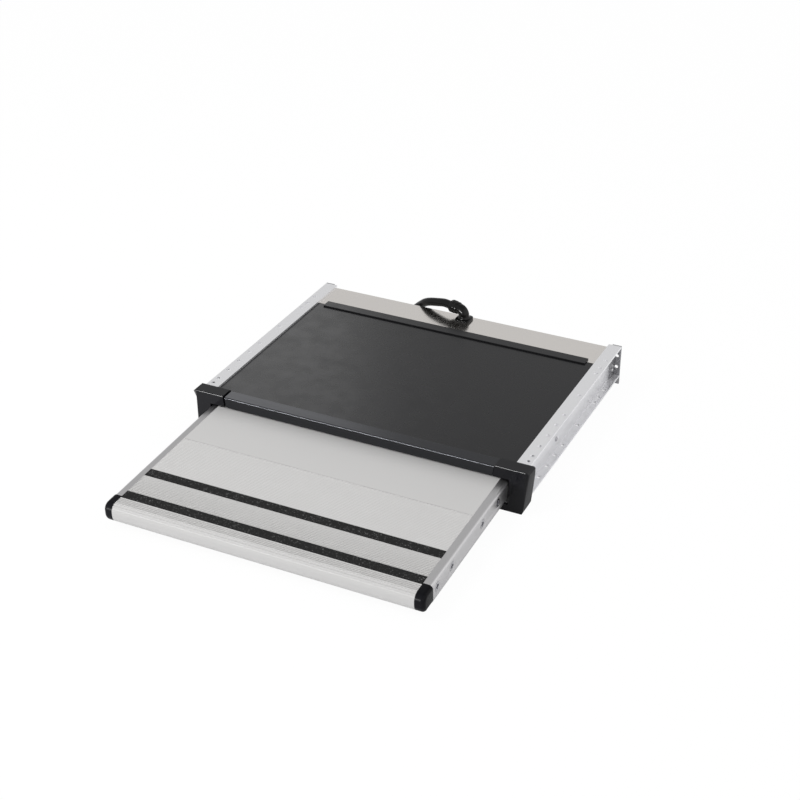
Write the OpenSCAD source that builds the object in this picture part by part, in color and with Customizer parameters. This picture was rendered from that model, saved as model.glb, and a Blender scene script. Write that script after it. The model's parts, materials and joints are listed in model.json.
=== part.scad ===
// Pull out entrance step for a caravan or camper: a flat housing that bolts under the floor,
// and a tread that a 12 V motor drives in and out on two racks.
// Frame: X to the right, Y to the rear, Z up, in millimetres. The origin is on the ground,
// at the middle of the length and width of the step with its tread out.

/* [Width] */
// Width over the tread's side profiles
tread_w = 400.3; // [320:0.1:560]
// Space for the guide between a side profile and the rail's web
side_gap = 6.35; // [6:0.05:8]

/* [Housing] */
// Length of a side rail, from the back of its corner bracket to the rear
rail_len = 322; // [300:1:420]
// Depth of the corner brackets and the bezel, front to back
bracket_depth = 20; // [16:1:26]
// Height of the side rails
rail_h = 45.2; // [44:0.2:60]
// Height of the rails above the ground
rail_lift = 10.7; // [8:0.1:16]
// Width of a rail's top flange
flange_w = 17.3; // [15:0.1:24]
// Wall of the side rails
rail_wall = 2.5; // [2:0.1:3]
// How far the rail's top flange stands out past its web
flange_out = 10; // [8:0.1:14]

/* [Mounting holes] */
// Diameter of the fixing holes in the rail flanges
hole_d = 5.5; // [4:0.1:6.5]
// Distance of the fixing holes from the outer edge of the flange
hole_edge = 6; // [4:0.1:8]
// Diameter of the two holes in each rear bracket
tab_hole_d = 5; // [3:0.1:6]

/* [Covers] */
// Thickness of the black top plate
plate_t = 2; // [1.5:0.1:3]
// Thickness of the base plate
base_t = 1.5; // [1:0.1:3]
// Sheet thickness of the steel motor cover
cover_t = 1.5; // [1:0.1:2]
// Depth of the motor cover, front to back
cover_depth = 51.4; // [46:0.1:60]
// Height of the trim strip over the plate's rear edge
trim_t = 2; // [1:0.1:3]
// Width of the trim strip, front to back
trim_w = 14.5; // [12:0.5:22]
// Distance from the trim strip's ends to the rail flanges
trim_inset = 11; // [6:1:30]
// Height of the bezel above the rails
bezel_proud = 0.9; // [0.5:0.1:2]
// Wall of the bezel profile
bezel_wall = 2.4; // [2:0.1:3]
// Mean gap between the bezel and the corner brackets
seam_gap = 1.6; // [1.2:0.1:2]
// How far the bezel sits to the right, so that its left gap is the wider one
bezel_shift = 1; // [0:0.1:1]
// Height of the corner brackets above the bezel
bracket_proud = 1.1; // [0.5:0.1:2]

/* [Tread] */
// How far the tread stands out of the bezel
tread_out = 232.5; // [206:0.5:300]
// Length of tread that stays in the housing when it is out
tread_tail = 56; // [52:1:70]
// Height of the side profiles
side_h = 23.6; // [22:0.1:26]
// Width of the side profiles
side_w = 10.15; // [9:0.05:12]
// Wall of the side profiles
side_wall = 2.5; // [2:0.1:3]
// Thickness of the deck planks
deck_t = 15; // [14:0.5:15.5]
// Wall of the hollow deck planks
deck_wall = 1.8; // [1.5:0.1:2.2]
// Distance from the bezel to the joint between the two planks
joint_y = 78; // [60:1:110]
// Slope of the tread, lower at the front, in degrees
slope = 2.07; // [0:0.01:2.4]
// Travel of the tread
travel = 205; // [120:1:206]
// Clearance between the tread's rear end and the top plate when it is in
lid_gap = 0.45; // [0.3:0.05:2]

/* [Tread details] */
// Distance between the fine grooves in the deck
groove_pitch = 2.6; // [1.8:0.1:5]
// Depth of the fine grooves
groove_depth = 0.4; // [0.2:0.05:0.6]
// Width of an anti-slip strip
grip_w = 13.8; // [10:0.1:18]
// Distance from the tread's front edge to the middle of the front anti-slip strip
grip_from_nose = 27.1; // [25:0.1:40]
// Distance between the middles of the two anti-slip strips
grip_spacing = 48.5; // [30:0.1:60]
// Height of the anti-slip strips above the deck
grip_proud = 0.5; // [0.2:0.1:1]
// Length of the corner caps
cap_len = 22.5; // [20:0.5:28]
// Diameter of the tread's countersunk screw heads
head_d = 11; // [9:0.5:12]

/* [Drive] */
// Module of the racks and pinions
tooth_module = 0.8; // [0.7:0.05:0.85]
// Number of teeth on a pinion
pinion_teeth = 14; // [13:1:14]
// Diameter of the cross shaft
shaft_d = 8; // [6:0.5:8]
// Width of the racks
rack_w = 8; // [6:0.5:10]
// Distance of the cross shaft behind the bezel, along the slope
shaft_y = 40; // [36:1:42]
// Diameter of the motor
motor_d = 32; // [26:1:32]
// Length of the motor
motor_len = 62; // [50:1:66]
// Diameter of the gearbox
gearbox_d = 33; // [28:1:33]
// Length of the gearbox
gearbox_len = 40; // [34:1:42]
// Radius of the belt pulleys
pulley_r = 6; // [5.5:0.1:6.2]
// Thickness of the toothed belt
belt_t = 1.3; // [1:0.1:1.6]
// Width of the toothed belt
belt_w = 9; // [6:0.5:10]

/* [Supply conduit] */
// Outside diameter of the conduit
conduit_d = 11.4; // [9:0.1:12]
// Diameter of the elbow's collar nut
nut_d = 17.5; // [15:0.5:20]
// Length of the collar nut
nut_len = 14.5; // [10:0.5:16]
// Outside radius of the elbow's tube
elbow_r = 7.2; // [6.5:0.1:8]
// Bend radius of the elbow, on its centre line
elbow_bend = 8; // [7.6:0.1:9]
// Side of the elbow's square foot
elbow_foot = 21; // [18:0.5:24]

/* [Hidden] */
// Fit of flat faces and of turning pieces
touch = 0.3;
running = 0.05;
curve_fn = 48;

// Housing widths and heights
tread_half = tread_w / 2;
web_in = tread_half + side_gap;
web_out = web_in + rail_wall;
half_w = web_out + flange_out;
rail_top = rail_lift + rail_h;
flange_in = half_w - flange_w;
lip_under = rail_top - rail_wall;
plate_under = lip_under - plate_t;
base_top = rail_lift;
rear_y = bracket_depth + rail_len;

// Tread: its top meets the bezel's plane at this height, so that its rear end just clears
// the top plate when the tread is all the way in
tail_reach = tread_tail + travel;
deck_z = plate_under - lid_gap - tail_reach * sin(slope);
deck_half = tread_half - side_w;
nose_r = 9.5;
nose_flat = 4.5;
nose_under = 11.5;
nose_box = 24;
plank_gap = 0.3;
side_front = -(tread_out - cap_len);
nose_foot = 11;
nose_end = 232;
nose_start = -(tread_out - nose_r);
plank_front = -joint_y - plank_gap / 2;
side_round = 4;
cap_round = 5;
cap_proud = 1.6;
tie_w = 14;

// Fine grooves of the front plank, left out where a strip has its seat
groove_top = 1.1;
groove_floor = 0.7;
grip_seat = 0.6;
front_grip_y = grip_from_nose - tread_out;
rear_grip_y = front_grip_y + grip_spacing;
grip_ys = [rear_grip_y, front_grip_y];
function in_seat(y) = min([for (s = grip_ys) abs(y - s)]) < grip_w / 2 + 1;
groove_ys = [for (y = [plank_front - 1.6 : -groove_pitch : nose_start]) if (!in_seat(y)) y];

// Screws through the side profiles
screw_ys = [-30, 3.5 - joint_y, side_front + 52, side_front + 14];
screw_z = -11.2;
screw_d = 4.8;
port_bore = 5;
port_r = 3.7;
head_proud = 0.25;
head_rim = 0.4;
head_recess = 1.2;
hole_slack = 0.2;

// Length over all and the shift that puts the origin at its middle
tab_t = 2;
front_reach = tread_out * cos(slope) - nose_r * sin(slope);
back_reach = rear_y + tab_t;
centre_shift = (front_reach - back_reach) / 2;

// Places of the fixing holes along a rail, from the bezel's front plane
hole_ys = [28, 41, 65, 92, 119, 145, 198, 260, 275, 297];
hole_x = half_w - hole_edge;
tab_hole_zs = [24.9, 41.1];
tab_hole_edge = 5;
web_screw = [133, 27.2];
rear_rivet = [335.5, 22.7];

// Bezel and brackets
bezel_top = rail_top + bezel_proud;
bezel_foot_gap = 1.8;
bezel_bottom = deck_z + bezel_foot_gap;
wiper_t = 1.8;
bezel_depth = bracket_depth - 2;
seam_x = deck_half - 7.5;
seam_lean = 2;
bracket_out = half_w + 6.5;
bracket_top = bezel_top + bracket_proud;
bracket_bevel = 2.8;
bracket_round = 7;
bracket_edge_r = 1.5;
bracket_taper = 3.6;
opening_x = tread_half + head_proud + 1.5 * touch;
opening_z = bezel_bottom;
tongue_len = 10;
tongue_h = 6;
lug_t = 3.4;
lug_h = 14;
lug_len = 8;
foot_h = rail_lift - base_t - 0.7;
bracket_wall = 3;

// Guides at the rails and what runs in them
guide_t = 1.6;
guide_lip = 2;
pad_h = head_d + 1.6;
slot_h = pad_h + 0.4;
slot_mid = -side_h / 2;
guide_start = bracket_depth + 12;
guide_end = tail_reach + 7;
guide_skirt = 7;
guide_x = tread_half + 1.1;
guide_back = web_in - guide_t;
stop_t = 2;
buffer_len = 6;
mouth_glide_x = deck_half + 0.5;
mouth_glide_w = side_w - 1;
lower_glide_len = 26;
upper_glide_len = 24;

// Base plate and the rivets that hold it and the motor cover
base_front = 3;
base_rivet_x = flange_in + 2.45;
base_rivet_ys = [45, 110, 175, 240, 305];
cover_rivet_xs = [for (k = [-1 : 1]) k * (web_in - 56.5)];
drain_xs = [-120, -40, 40, 120];
drain_ys = [95, 190];
drain_size = [28, 5];
rivet_d = 3.2;
rivet_hole_d = 3.4;
rivet_head_d = 6;
rivet_head_h = 0.9;

// Racks and pinions
pressure = 25;
backlash = 0.14;
pinion_r = tooth_module * pinion_teeth / 2;
tooth_pitch = PI * tooth_module;
tooth_root = 1.25 * tooth_module;
rack_body = 2.2;
pitch_z = -deck_t - rack_body - tooth_root;
shaft_z = pitch_z - pinion_r;
rack_x = deck_half - 18;
rack_front = shaft_y - travel - 8;
rack_rear = tread_tail - 4;
shaft_half = rack_x + rack_w + 2;
bearing_x = rack_x - 14;
bearing_w = 8;
bush_d = shaft_d + 4;
bearing_foot = [24, 5];
bearing_r = 8;

// Motor, gearbox, belt and electrics in the space under the motor cover
cover_inset = 3.1;
trim_back = 0.45;
cover_front = rear_y - cover_inset - cover_depth;
cover_rear = rear_y - cover_inset;
cover_half = web_in - touch;
cover_fold = 10;
motor_y = cover_front + 22;
motor_z = base_top + gearbox_d / 2 + touch;
gearbox_x = -22;
motor_x = gearbox_x + gearbox_len;
pulley_x = -46;
belt_slack = 0.25;
belt_r = pulley_r + belt_slack;
box_size = [64, 34, 24];
lead_gap = 14;
box_x = motor_x + motor_len + lead_gap;
sensor_x = deck_half - 80;
sensor_size = [14, 10];
sensor_gap = 2.5;
magnet_size = [12, 8, 5];
magnet_y = tread_tail - 9;
box_y = cover_front + 5;
lid_t = 3;
output_d = 8;
output_foot = [28, 5];
output_depth = 20;
output_bore = 25;
output_bearing_x = pulley_x - 14;
output_over = 2;
cradle_w = 34;
cradle_t = 10;
cradle_end = 6;

// The shaft's axis in the housing's frame, and the belt's run from it to the motor's pulley
shaft_at_y = shaft_y * cos(slope) - shaft_z * sin(slope);
shaft_at_z = deck_z + shaft_y * sin(slope) + shaft_z * cos(slope);
belt_dy = motor_y - shaft_at_y;
belt_dz = motor_z - shaft_at_z;
belt_run = sqrt(belt_dy * belt_dy + belt_dz * belt_dz);
belt_tilt = atan2(belt_dz, belt_dy);

// Route of the supply conduit, from the bezel's front plane: out of the elbow's nut, over the
// cover's rear edge, down behind it and along the ground to the plug
conduit_route = [
  [-21.5, 333, 68], [-33, 336.2, 68], [-45, 338.5, 65.5], [-56, 341, 62.5], [-65, 344.8, 58],
  [-73, 348.5, 51.5], [-82, 351.5, 43], [-91, 353.5, 33.5], [-102, 355, 22.8], [-113, 356, 15.4],
  [-126, 357, 9.8], [-140, 357, 6.9], [-154, 357, 6.2], [-168, 357, 6.2], [-182, 357, 6.2]
];

// The elbow stands where its nut meets the route's first point, square to the first stretch
conduit_start = conduit_route[0];
first_step = conduit_route[1] - conduit_start;
elbow_yaw = atan2(first_step.y, -first_step.x);
nut_reach = elbow_bend + nut_len;
elbow_x = conduit_start.x + nut_reach * cos(elbow_yaw);
elbow_y = conduit_start.y - nut_reach * sin(elbow_yaw);
elbow_z = conduit_start.z;
foot_t = 2.5;
gasket_t = 1;
plug_len = 34;
plug_size = [26, 18, 12.2];
socket_size = [13, 13, 7];
wire_d = 4.6;
wire_bore = 3;

// Puts a shape that is measured from the bezel's front plane into the part's frame
module in_frame() translate([0, centre_shift, 0]) children();

// The same for a shape measured on the tread: y along the slope, z down from the deck's top
module on_slope() in_frame() translate([0, 0, deck_z]) rotate([slope, 0, 0]) children();

// Draws a right-hand shape on the right for side 1 and mirrored on the left for side -1
module on_side(side) mirror([side < 0 ? 1 : 0, 0, 0]) children();

// Extrudes an outline drawn in y and z along X
module along_x(from, to) {
  translate([from, 0, 0]) rotate([90, 0, 90]) linear_extrude(to - from) children();
}

// Extrudes an outline drawn in x and z along Y
module along_y(from, to) {
  translate([0, to, 0]) rotate([90, 0, 0]) linear_extrude(to - from) children();
}

// A round bar or hole along X, Y or Z
module rod_z(d, from, to) {
  translate([0, 0, from]) cylinder(d = d, h = to - from, $fn = curve_fn);
}

module rod_x(d, from, to) rotate([0, 90, 0]) rod_z(d, from, to);
module rod_y(d, from, to) rotate([-90, 0, 0]) rod_z(d, from, to);

// A flat outline with round corners, from one corner to the other
module round_box(lo, hi, r) {
  translate([lo.x + r, lo.y]) square([hi.x - lo.x - 2 * r, hi.y - lo.y]);
  translate([lo.x, lo.y + r]) square([hi.x - lo.x, hi.y - lo.y - 2 * r]);
  for (x = [lo.x + r, hi.x - r], y = [lo.y + r, hi.y - r]) translate([x, y]) circle(r, $fn = curve_fn);
}

// Points of an arc from angle a to angle b
function arc(c, r, a, b, n) = [
  for (i = [0 : n]) let (t = a + (b - a) * i / n) c + r * [cos(t), sin(t)]
];

// Side rail: a channel that opens outwards, with a lip inwards at the top and the bottom
module rail_section() {
  difference() {
    translate([flange_in, rail_lift]) square([flange_w, rail_h]);
    translate([web_out, rail_lift + rail_wall]) square([flange_out + 1, rail_h - 2 * rail_wall]);
    translate([flange_in - 1, rail_lift + rail_wall])
      square([web_in - flange_in + 1, rail_h - 2 * rail_wall]);
  }
}

module rail(side) {
  color("silver") in_frame() on_side(side) difference() {
    along_y(bracket_depth, rear_y) rail_section();
    for (y = hole_ys) translate([hole_x, y, 0]) rod_z(hole_d, rail_lift - 1, rail_top + 1);
    translate([0, web_screw.x, web_screw.y]) rod_x(4.3, web_in - 1, web_out + 1);
    translate([0, rear_rivet.x, rear_rivet.y]) rod_x(rivet_hole_d, web_in - 1, web_out + 1);
    for (y = base_rivet_ys) translate([base_rivet_x, y, 0])
      rod_z(rivet_hole_d, rail_lift - 1, rail_lift + rail_wall + 1);
  }
}

// Corner bracket: a hollow end cap with a foot and a close opening for the tread's side profile
module bracket_front_outline() {
  polygon([
    [seam_x, bracket_top], [bracket_out - bracket_bevel, bracket_top],
    [bracket_out, bracket_top - bracket_bevel], [bracket_out, rail_top - 10],
    [bracket_out - bracket_taper, 8], [bracket_out - 2 * bracket_taper, 0], [deck_half - 2, 0],
    [deck_half - 2, foot_h], [opening_x, foot_h], [opening_x, opening_z],
    [seam_x - seam_lean, opening_z]
  ]);
}

module bracket_plan() {
  r = bracket_round;
  translate([seam_x - 20, 0]) square([bracket_out - seam_x + 20 - r, bracket_depth]);
  translate([seam_x - 20, r]) square([bracket_out - seam_x + 20, bracket_depth - r]);
  translate([bracket_out - r, r]) circle(r, $fn = curve_fn);
}

// Round front top edge, and a slope down to the rear one
module bracket_edges() {
  r = bracket_edge_r;
  polygon(concat(
    [[bracket_depth, -1], [bracket_depth, bezel_top], [bracket_depth - 2, bracket_top]],
    arc([r, bracket_top - r], r, 90, 180, 6), [[0, -1]]
  ));
}

module bracket(side) {
  color("#1c1c1e") in_frame() on_side(side) {
    difference() {
      intersection() {
        along_y(0, bracket_depth) bracket_front_outline();
        translate([0, 0, -1]) linear_extrude(bracket_top + 2) bracket_plan();
        along_x(seam_x - seam_lean - 1, bracket_out + 1) bracket_edges();
      }
      along_y(bracket_wall + 1.5, bracket_depth + 1) round_box(
        [opening_x + bracket_wall, foot_h],
        [bracket_out - 2 * bracket_wall, rail_top - bracket_wall], 2);
    }
    // tongue into the bezel and lug beside the rail's web
    translate([seam_x - tongue_len, bezel_wall + touch, bezel_top - bezel_wall - touch - tongue_h])
      cube([tongue_len + 1, bezel_depth - 2 * bezel_wall - 2 * touch, tongue_h]);
    translate([web_in - touch - lug_t, bracket_depth - 1, lip_under - lug_h - tongue_h])
      cube([lug_t, lug_len + 1, lug_h]);
  }
}

// Front bezel: an inverted trough that closes the housing above the tread
module bezel_section() {
  edge_r = 1.5;
  translate([0, bezel_bottom]) square([bezel_wall, bezel_top - bezel_bottom - edge_r]);
  translate([edge_r, bezel_top - bezel_wall]) square([bezel_depth - edge_r, bezel_wall]);
  translate([bezel_depth - bezel_wall, lip_under]) square([bezel_wall, bezel_top - lip_under]);
  translate([edge_r, bezel_top - edge_r]) intersection() {
    circle(edge_r, $fn = curve_fn);
    translate([-edge_r, 0]) square(edge_r);
  }
}

module bezel() {
  reach = seam_x - seam_gap;
  color("#2c2c2f") in_frame() translate([bezel_shift, 0, 0]) intersection() {
    along_x(-reach, reach) bezel_section();
    along_y(-1, bezel_depth + 1) polygon([
      [-reach, bezel_top], [reach, bezel_top],
      [reach - seam_lean, bezel_bottom - 1], [-reach + seam_lean, bezel_bottom - 1]
    ]);
  }
}

// Rubber wiper behind the bezel's front wall, with its lip just over the anti-slip strips
module wiper_seal() {
  lip_z = deck_z + grip_proud + touch + (bezel_wall + wiper_t) * tan(slope);
  wiper_half = seam_x - tongue_len - 1;
  color("#151515") in_frame() along_x(-wiper_half, wiper_half) polygon([
    [bezel_wall, bezel_top - bezel_wall], [bezel_wall + wiper_t, bezel_top - bezel_wall],
    [bezel_wall + wiper_t, lip_z + 1], [bezel_wall + wiper_t / 2, lip_z], [bezel_wall, lip_z + 1]
  ]);
}

// Black top plate, held under the inner lips of the rails
module top_plate() {
  plate_front = bezel_wall + wiper_t + 2 * touch;
  color("#3a3a3c") in_frame() difference() {
    translate([-cover_half, plate_front, plate_under])
      cube([2 * cover_half, cover_front - plate_front, plate_t]);
    for (side = [-1, 1]) on_side(side)
      translate([seam_x - tongue_len - touch, -1, plate_under - 1])
        cube([half_w, bracket_depth + 1 + touch, plate_t + 2]);
  }
}

// Raised trim over the joint between the top plate and the motor cover
module rear_trim_strip() {
  strip_half = flange_in - trim_inset;
  mid = cover_front - trim_back;
  color("#262628") in_frame() translate([-strip_half, mid - trim_w / 2, lip_under])
    cube([2 * strip_half, trim_w, trim_t]);
}

// Folded steel cover over the motor: a top, a rear wall with a foot, and two short ends
module motor_cover() {
  drop = lip_under - base_top;
  color("#b9b4ac") in_frame() difference() {
    union() {
      translate([-cover_half, cover_front, lip_under - cover_t])
        cube([2 * cover_half, cover_depth, cover_t]);
      translate([-cover_half, cover_rear - cover_t, base_top])
        cube([2 * cover_half, cover_t, drop]);
      for (side = [-1, 1]) on_side(side)
        translate([cover_half - cover_t, cover_front + cover_fold, base_top + drop / 2])
          cube([cover_t, cover_depth - cover_fold, drop / 2]);
      translate([-cover_half, cover_rear - cover_fold, base_top])
        cube([2 * cover_half, cover_fold, cover_t]);
    }
    for (side = [-1, 1]) on_side(side) translate([flange_in - touch, cover_front, 0])
      cube([flange_w, cover_depth + 1, rail_lift + rail_wall + touch]);
    for (x = cover_rivet_xs) translate([x, cover_rear - cover_fold / 2 - cover_t / 2, 0])
      rod_z(rivet_hole_d, base_top - 1, base_top + cover_t + 1);
    translate([elbow_x, elbow_y, 0]) rod_z(2 * (wire_bore + 1.5), lip_under - 5, lip_under + 1);
  }
}

// Base plate, riveted under the inner lips of the rails, with drain slots
module base_plate() {
  color("#9a9a9a") in_frame() difference() {
    translate([-cover_half, base_front, rail_lift - base_t])
      cube([2 * cover_half, cover_rear - base_front, base_t]);
    for (side = [-1, 1]) on_side(side)
      translate([opening_x - touch, 0, 0]) cube([flange_w, bracket_depth + touch, rail_lift + 1]);
    for (side = [-1, 1], y = base_rivet_ys) on_side(side)
      translate([base_rivet_x, y, 0]) rod_z(rivet_hole_d, 0, rail_lift + 1);
    for (x = cover_rivet_xs) translate([x, cover_rear - cover_fold / 2 - cover_t / 2, 0])
      rod_z(rivet_hole_d, 0, rail_lift + 1);
    for (x = drain_xs, y = drain_ys) translate([x, y, rail_lift - base_t - 1])
      linear_extrude(base_t + 2) round_box(-drain_size / 2, drain_size / 2, 2.4);
  }
}

// Rivet with its head above z = 0 and its shank below
module rivet(grip) {
  rod_z(rivet_d, -grip, rivet_head_h / 2);
  rod_z(rivet_head_d, 0, rivet_head_h);
}

module base_rivets() {
  color("silver") in_frame() {
    for (side = [-1, 1], y = base_rivet_ys) on_side(side)
      translate([base_rivet_x, y, rail_lift - base_t]) mirror([0, 0, 1]) rivet(base_t + rail_wall);
    for (x = cover_rivet_xs)
      translate([x, cover_rear - cover_fold / 2 - cover_t / 2, rail_lift - base_t])
        mirror([0, 0, 1]) rivet(base_t + cover_t);
  }
}

// Rear bracket: a tab that closes the rail's end and reaches down to the ground, with a leg
// along the outside of the web
module rear_bracket(side) {
  leg = 15;
  color("#55555a") in_frame() on_side(side) difference() {
    union() {
      translate([web_in, rear_y, 0]) cube([half_w - web_in, tab_t, rail_top]);
      translate([web_out, rear_y - leg, rail_lift + rail_wall + touch])
        cube([tab_t, leg + tab_t, rail_h - 2 * rail_wall - 2 * touch]);
    }
    for (z = tab_hole_zs) translate([half_w - tab_hole_edge, 0, z])
      rod_y(tab_hole_d, rear_y - 1, rear_y + tab_t + 1);
    translate([0, rear_rivet.x, rear_rivet.y]) rod_x(rivet_hole_d, web_out - 1, web_out + tab_t + 1);
  }
}

module rear_rivets() {
  color("silver") in_frame() for (side = [-1, 1]) on_side(side)
    translate([web_out + tab_t, rear_rivet.x, rear_rivet.y]) rotate([0, 90, 0])
      rivet(tab_t + rail_wall);
}

// Guide: a plastic channel on the inside of the web, parallel to the slope
module guide_outline() {
  top = slot_mid + slot_h / 2;
  low = slot_mid - slot_h / 2;
  translate([guide_back, low - guide_lip - guide_skirt])
    square([guide_t, slot_h + 2 * guide_lip + guide_skirt]);
  for (z = [low - guide_lip, top]) translate([guide_x, z])
    square([guide_back - guide_x + guide_t / 2, guide_lip]);
}

// Height of a point of the housing, measured on the tread's slope
function slope_z(y, z) = (z - deck_z) * cos(slope) - y * sin(slope);
function slope_y(y, z) = (z - deck_z) * sin(slope) + y * cos(slope);

module guide(side) {
  stop_x = tread_half + head_proud + touch;
  color("#202020") on_slope() on_side(side) difference() {
    union() {
      along_y(guide_start, guide_end) guide_outline();
      // stop for the glides when the tread is out, clear of the tread's screw heads
      translate([stop_x, guide_start - stop_t, slot_mid - slot_h / 2 - guide_lip])
        cube([web_in - stop_x, stop_t, slot_h + 2 * guide_lip]);
    }
    translate([0, slope_y(web_screw.x, web_screw.y), slope_z(web_screw.x, web_screw.y)])
      rod_x(3.4, guide_back - 1, web_in + 1);
  }
}

// Screws that hold the guides, with their heads on the outside of the webs
module guide_screws() {
  color("#6a6a6e") in_frame() for (side = [-1, 1]) on_side(side)
    translate([0, web_screw.x, web_screw.y]) {
      rod_x(3.2, guide_back, web_out + 0.5);
      rod_x(6.4, web_out, web_out + 1.4);
    }
}

// Glides at the housing's mouth, below and above the tread's side profiles
module front_lower_glides() {
  color("#e8e6df") in_frame() for (side = [-1, 1]) on_side(side) intersection() {
    translate([mouth_glide_x, base_front + 1, base_top])
      cube([mouth_glide_w, lower_glide_len, side_h]);
    translate([0, 0, deck_z]) rotate([slope, 0, 0])
      translate([0, -lower_glide_len, -2 * side_h - touch])
        cube([half_w, 4 * lower_glide_len, side_h]);
  }
}

module front_upper_glides() {
  color("#e8e6df") in_frame() for (side = [-1, 1]) on_side(side) intersection() {
    translate([mouth_glide_x, bracket_depth + 2, deck_z])
      cube([mouth_glide_w, upper_glide_len, plate_under - deck_z]);
    translate([0, 0, deck_z]) rotate([slope, 0, 0])
      translate([0, -upper_glide_len, touch]) cube([half_w, 4 * upper_glide_len, side_h]);
  }
}

// Rubber buffers at the rear ends of the guide slots, which stop the tread when it is in
module end_buffers() {
  color("#181818") on_slope() for (side = [-1, 1]) on_side(side)
    translate([guide_x, tail_reach + touch, slot_mid - pad_h / 2])
      cube([guide_back - guide_x, buffer_len, pad_h]);
}

// Outline of the tread's nose, from the deck's top round the front to the underside
function nose_points() = concat(
  arc([nose_start, -nose_r], nose_r, 90, 180, 14),
  arc([-tread_out + nose_under, -nose_r - nose_flat], nose_under, 180, nose_end, 8),
  [[-tread_out + nose_foot, -side_h]]
);

// Deck planks: hollow extrusions along X
module front_plank_outline() {
  polygon(concat(
    [[plank_front, -deck_t], [plank_front, 0]],
    nose_points(),
    [[-tread_out + nose_box, -side_h], [-tread_out + nose_box, -deck_t]]
  ));
}

// Round ports along the planks for the side screws
module screw_ports(r) for (y = screw_ys) translate([y, screw_z]) circle(r, $fn = curve_fn);

// A row of cells in a hollow plank, from y = a to y = b
module cells(a, b, count) {
  pitch = (b - a) / count;
  for (i = [0 : count - 1]) translate([a + i * pitch + deck_wall / 2, -deck_t + deck_wall])
    square([pitch - deck_wall, deck_t - 2 * deck_wall]);
}

// A fine groove in the deck's top, a little wider at its mouth
module groove() {
  polygon([
    [-groove_top / 2, touch], [-groove_floor / 2, -groove_depth],
    [groove_floor / 2, -groove_depth], [groove_top / 2, touch]
  ]);
}

module front_plank() {
  seat_w = grip_w + touch;
  color("#c8c7c6") on_slope() along_x(-deck_half, deck_half) difference() {
    front_plank_outline();
    for (y = groove_ys) translate([y, 0]) groove();
    for (y = grip_ys) translate([y - seat_w / 2, -grip_seat]) square([seat_w, 2 * grip_seat]);
    difference() {
      cells(-tread_out + nose_box - deck_wall / 2, plank_front - deck_wall / 2, 6);
      screw_ports(port_r);
    }
    screw_ports(port_bore / 2);
    translate([-tread_out + nose_r, -side_h + deck_wall])
      square([nose_box - nose_r - deck_wall, side_h - 2 * deck_wall]);
  }
}

module rear_plank() {
  first = -joint_y + plank_gap / 2;
  last = tread_tail - tie_w;
  color("#c8c7c6") on_slope() along_x(-deck_half, deck_half) difference() {
    translate([first, -deck_t]) square([last - first, deck_t]);
    difference() {
      cells(first + deck_wall / 2, last - deck_wall / 2, 5);
      screw_ports(port_r);
    }
    screw_ports(port_bore / 2);
  }
}

// Side profile of the tread: a C that opens to the deck, round at its outer top edge
module side_outline() {
  difference() {
    union() {
      translate([deck_half, -side_h]) square([side_w, side_h - side_round]);
      translate([deck_half, -side_round - 1]) square([side_w - side_round, side_round + 1]);
      translate([tread_half - side_round, -side_round]) circle(side_round, $fn = curve_fn);
    }
    translate([deck_half - 1, -side_h + side_wall])
      square([side_w - side_wall + 1, side_h - 2 * side_wall - 1.5]);
  }
}

// A countersunk head along X, or with some slack the seat in which it lies
module sunk_head(slack) {
  depth = side_wall - head_rim;
  translate([tread_half - side_wall, 0, 0]) rotate([0, 90, 0])
    cylinder(d1 = screw_d + 2 * slack, d2 = head_d + 2 * slack, h = depth, $fn = curve_fn);
  rod_x(head_d + 2 * slack, tread_half - head_rim, tread_half + head_proud + slack);
}

module side_profile(side) {
  color("#8c8c8c") on_slope() on_side(side) difference() {
    along_y(side_front, tread_tail) side_outline();
    for (y = screw_ys) translate([0, y, screw_z]) {
      rod_x(screw_d + 2 * hole_slack, tread_half - side_wall - 1, tread_half - side_wall + 0.1);
      sunk_head(hole_slack);
    }
  }
}

// Countersunk screws through the side profiles into the planks
module tread_screws() {
  cross = [2, 5.2, 1];
  color("#b5b5b5") on_slope() for (side = [-1, 1], y = screw_ys) on_side(side)
    translate([0, y, screw_z]) difference() {
      union() {
        sunk_head(0);
        rod_x(screw_d, deck_half - 14, tread_half - side_wall + 0.1);
      }
      for (a = [0, 90]) rotate([a, 0, 0])
        translate([tread_half + head_proud - head_recess, -cross.y / 2, -cross.z / 2]) cube(cross);
    }
}

// Corner cap of the tread: closes the nose and the front end of a side profile
module cap_outline() polygon(concat([[side_front, -side_h], [side_front, 0]], nose_points()));

module cap(side) {
  cap_x = tread_half + cap_proud;
  color("#1a1a1b") on_slope() on_side(side) intersection() {
    along_x(deck_half + running, cap_x) cap_outline();
    along_y(-tread_out - 1, 0) {
      translate([deck_half, -side_h - 1]) square([cap_x - deck_half, side_h + 1 - cap_round]);
      translate([deck_half, -side_h - 1]) square([cap_x - deck_half - cap_round, side_h + 2]);
      translate([cap_x - cap_round, -cap_round]) circle(cap_round, $fn = curve_fn);
    }
  }
}

// Anti-slip strip, sunk into its seat in the front plank
module grip_strip(y) {
  color("#2a2a2a") on_slope() translate([-deck_half, y - grip_w / 2, -grip_seat])
    cube([2 * deck_half, grip_w, grip_seat + grip_proud]);
}

// Tie bar between the side profiles at the tread's rear end
module tread_tie_bar() {
  color("#a8a8a8") on_slope() along_x(-deck_half, deck_half) difference() {
    translate([tread_tail - tie_w, -deck_t]) square([tie_w, deck_t]);
    translate([tread_tail - tie_w + deck_wall, -deck_t + deck_wall])
      square([tie_w - 2 * deck_wall, deck_t - 2 * deck_wall]);
  }
}

// Glides on the outside of the side profiles, which run in the guides
module rear_glides() {
  color("#e8e6df") on_slope() for (side = [-1, 1]) on_side(side)
    translate([tread_half, guide_start + touch, slot_mid - pad_h / 2])
      cube([guide_back - tread_half - touch, tread_tail - guide_start - touch, pad_h]);
}

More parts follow.
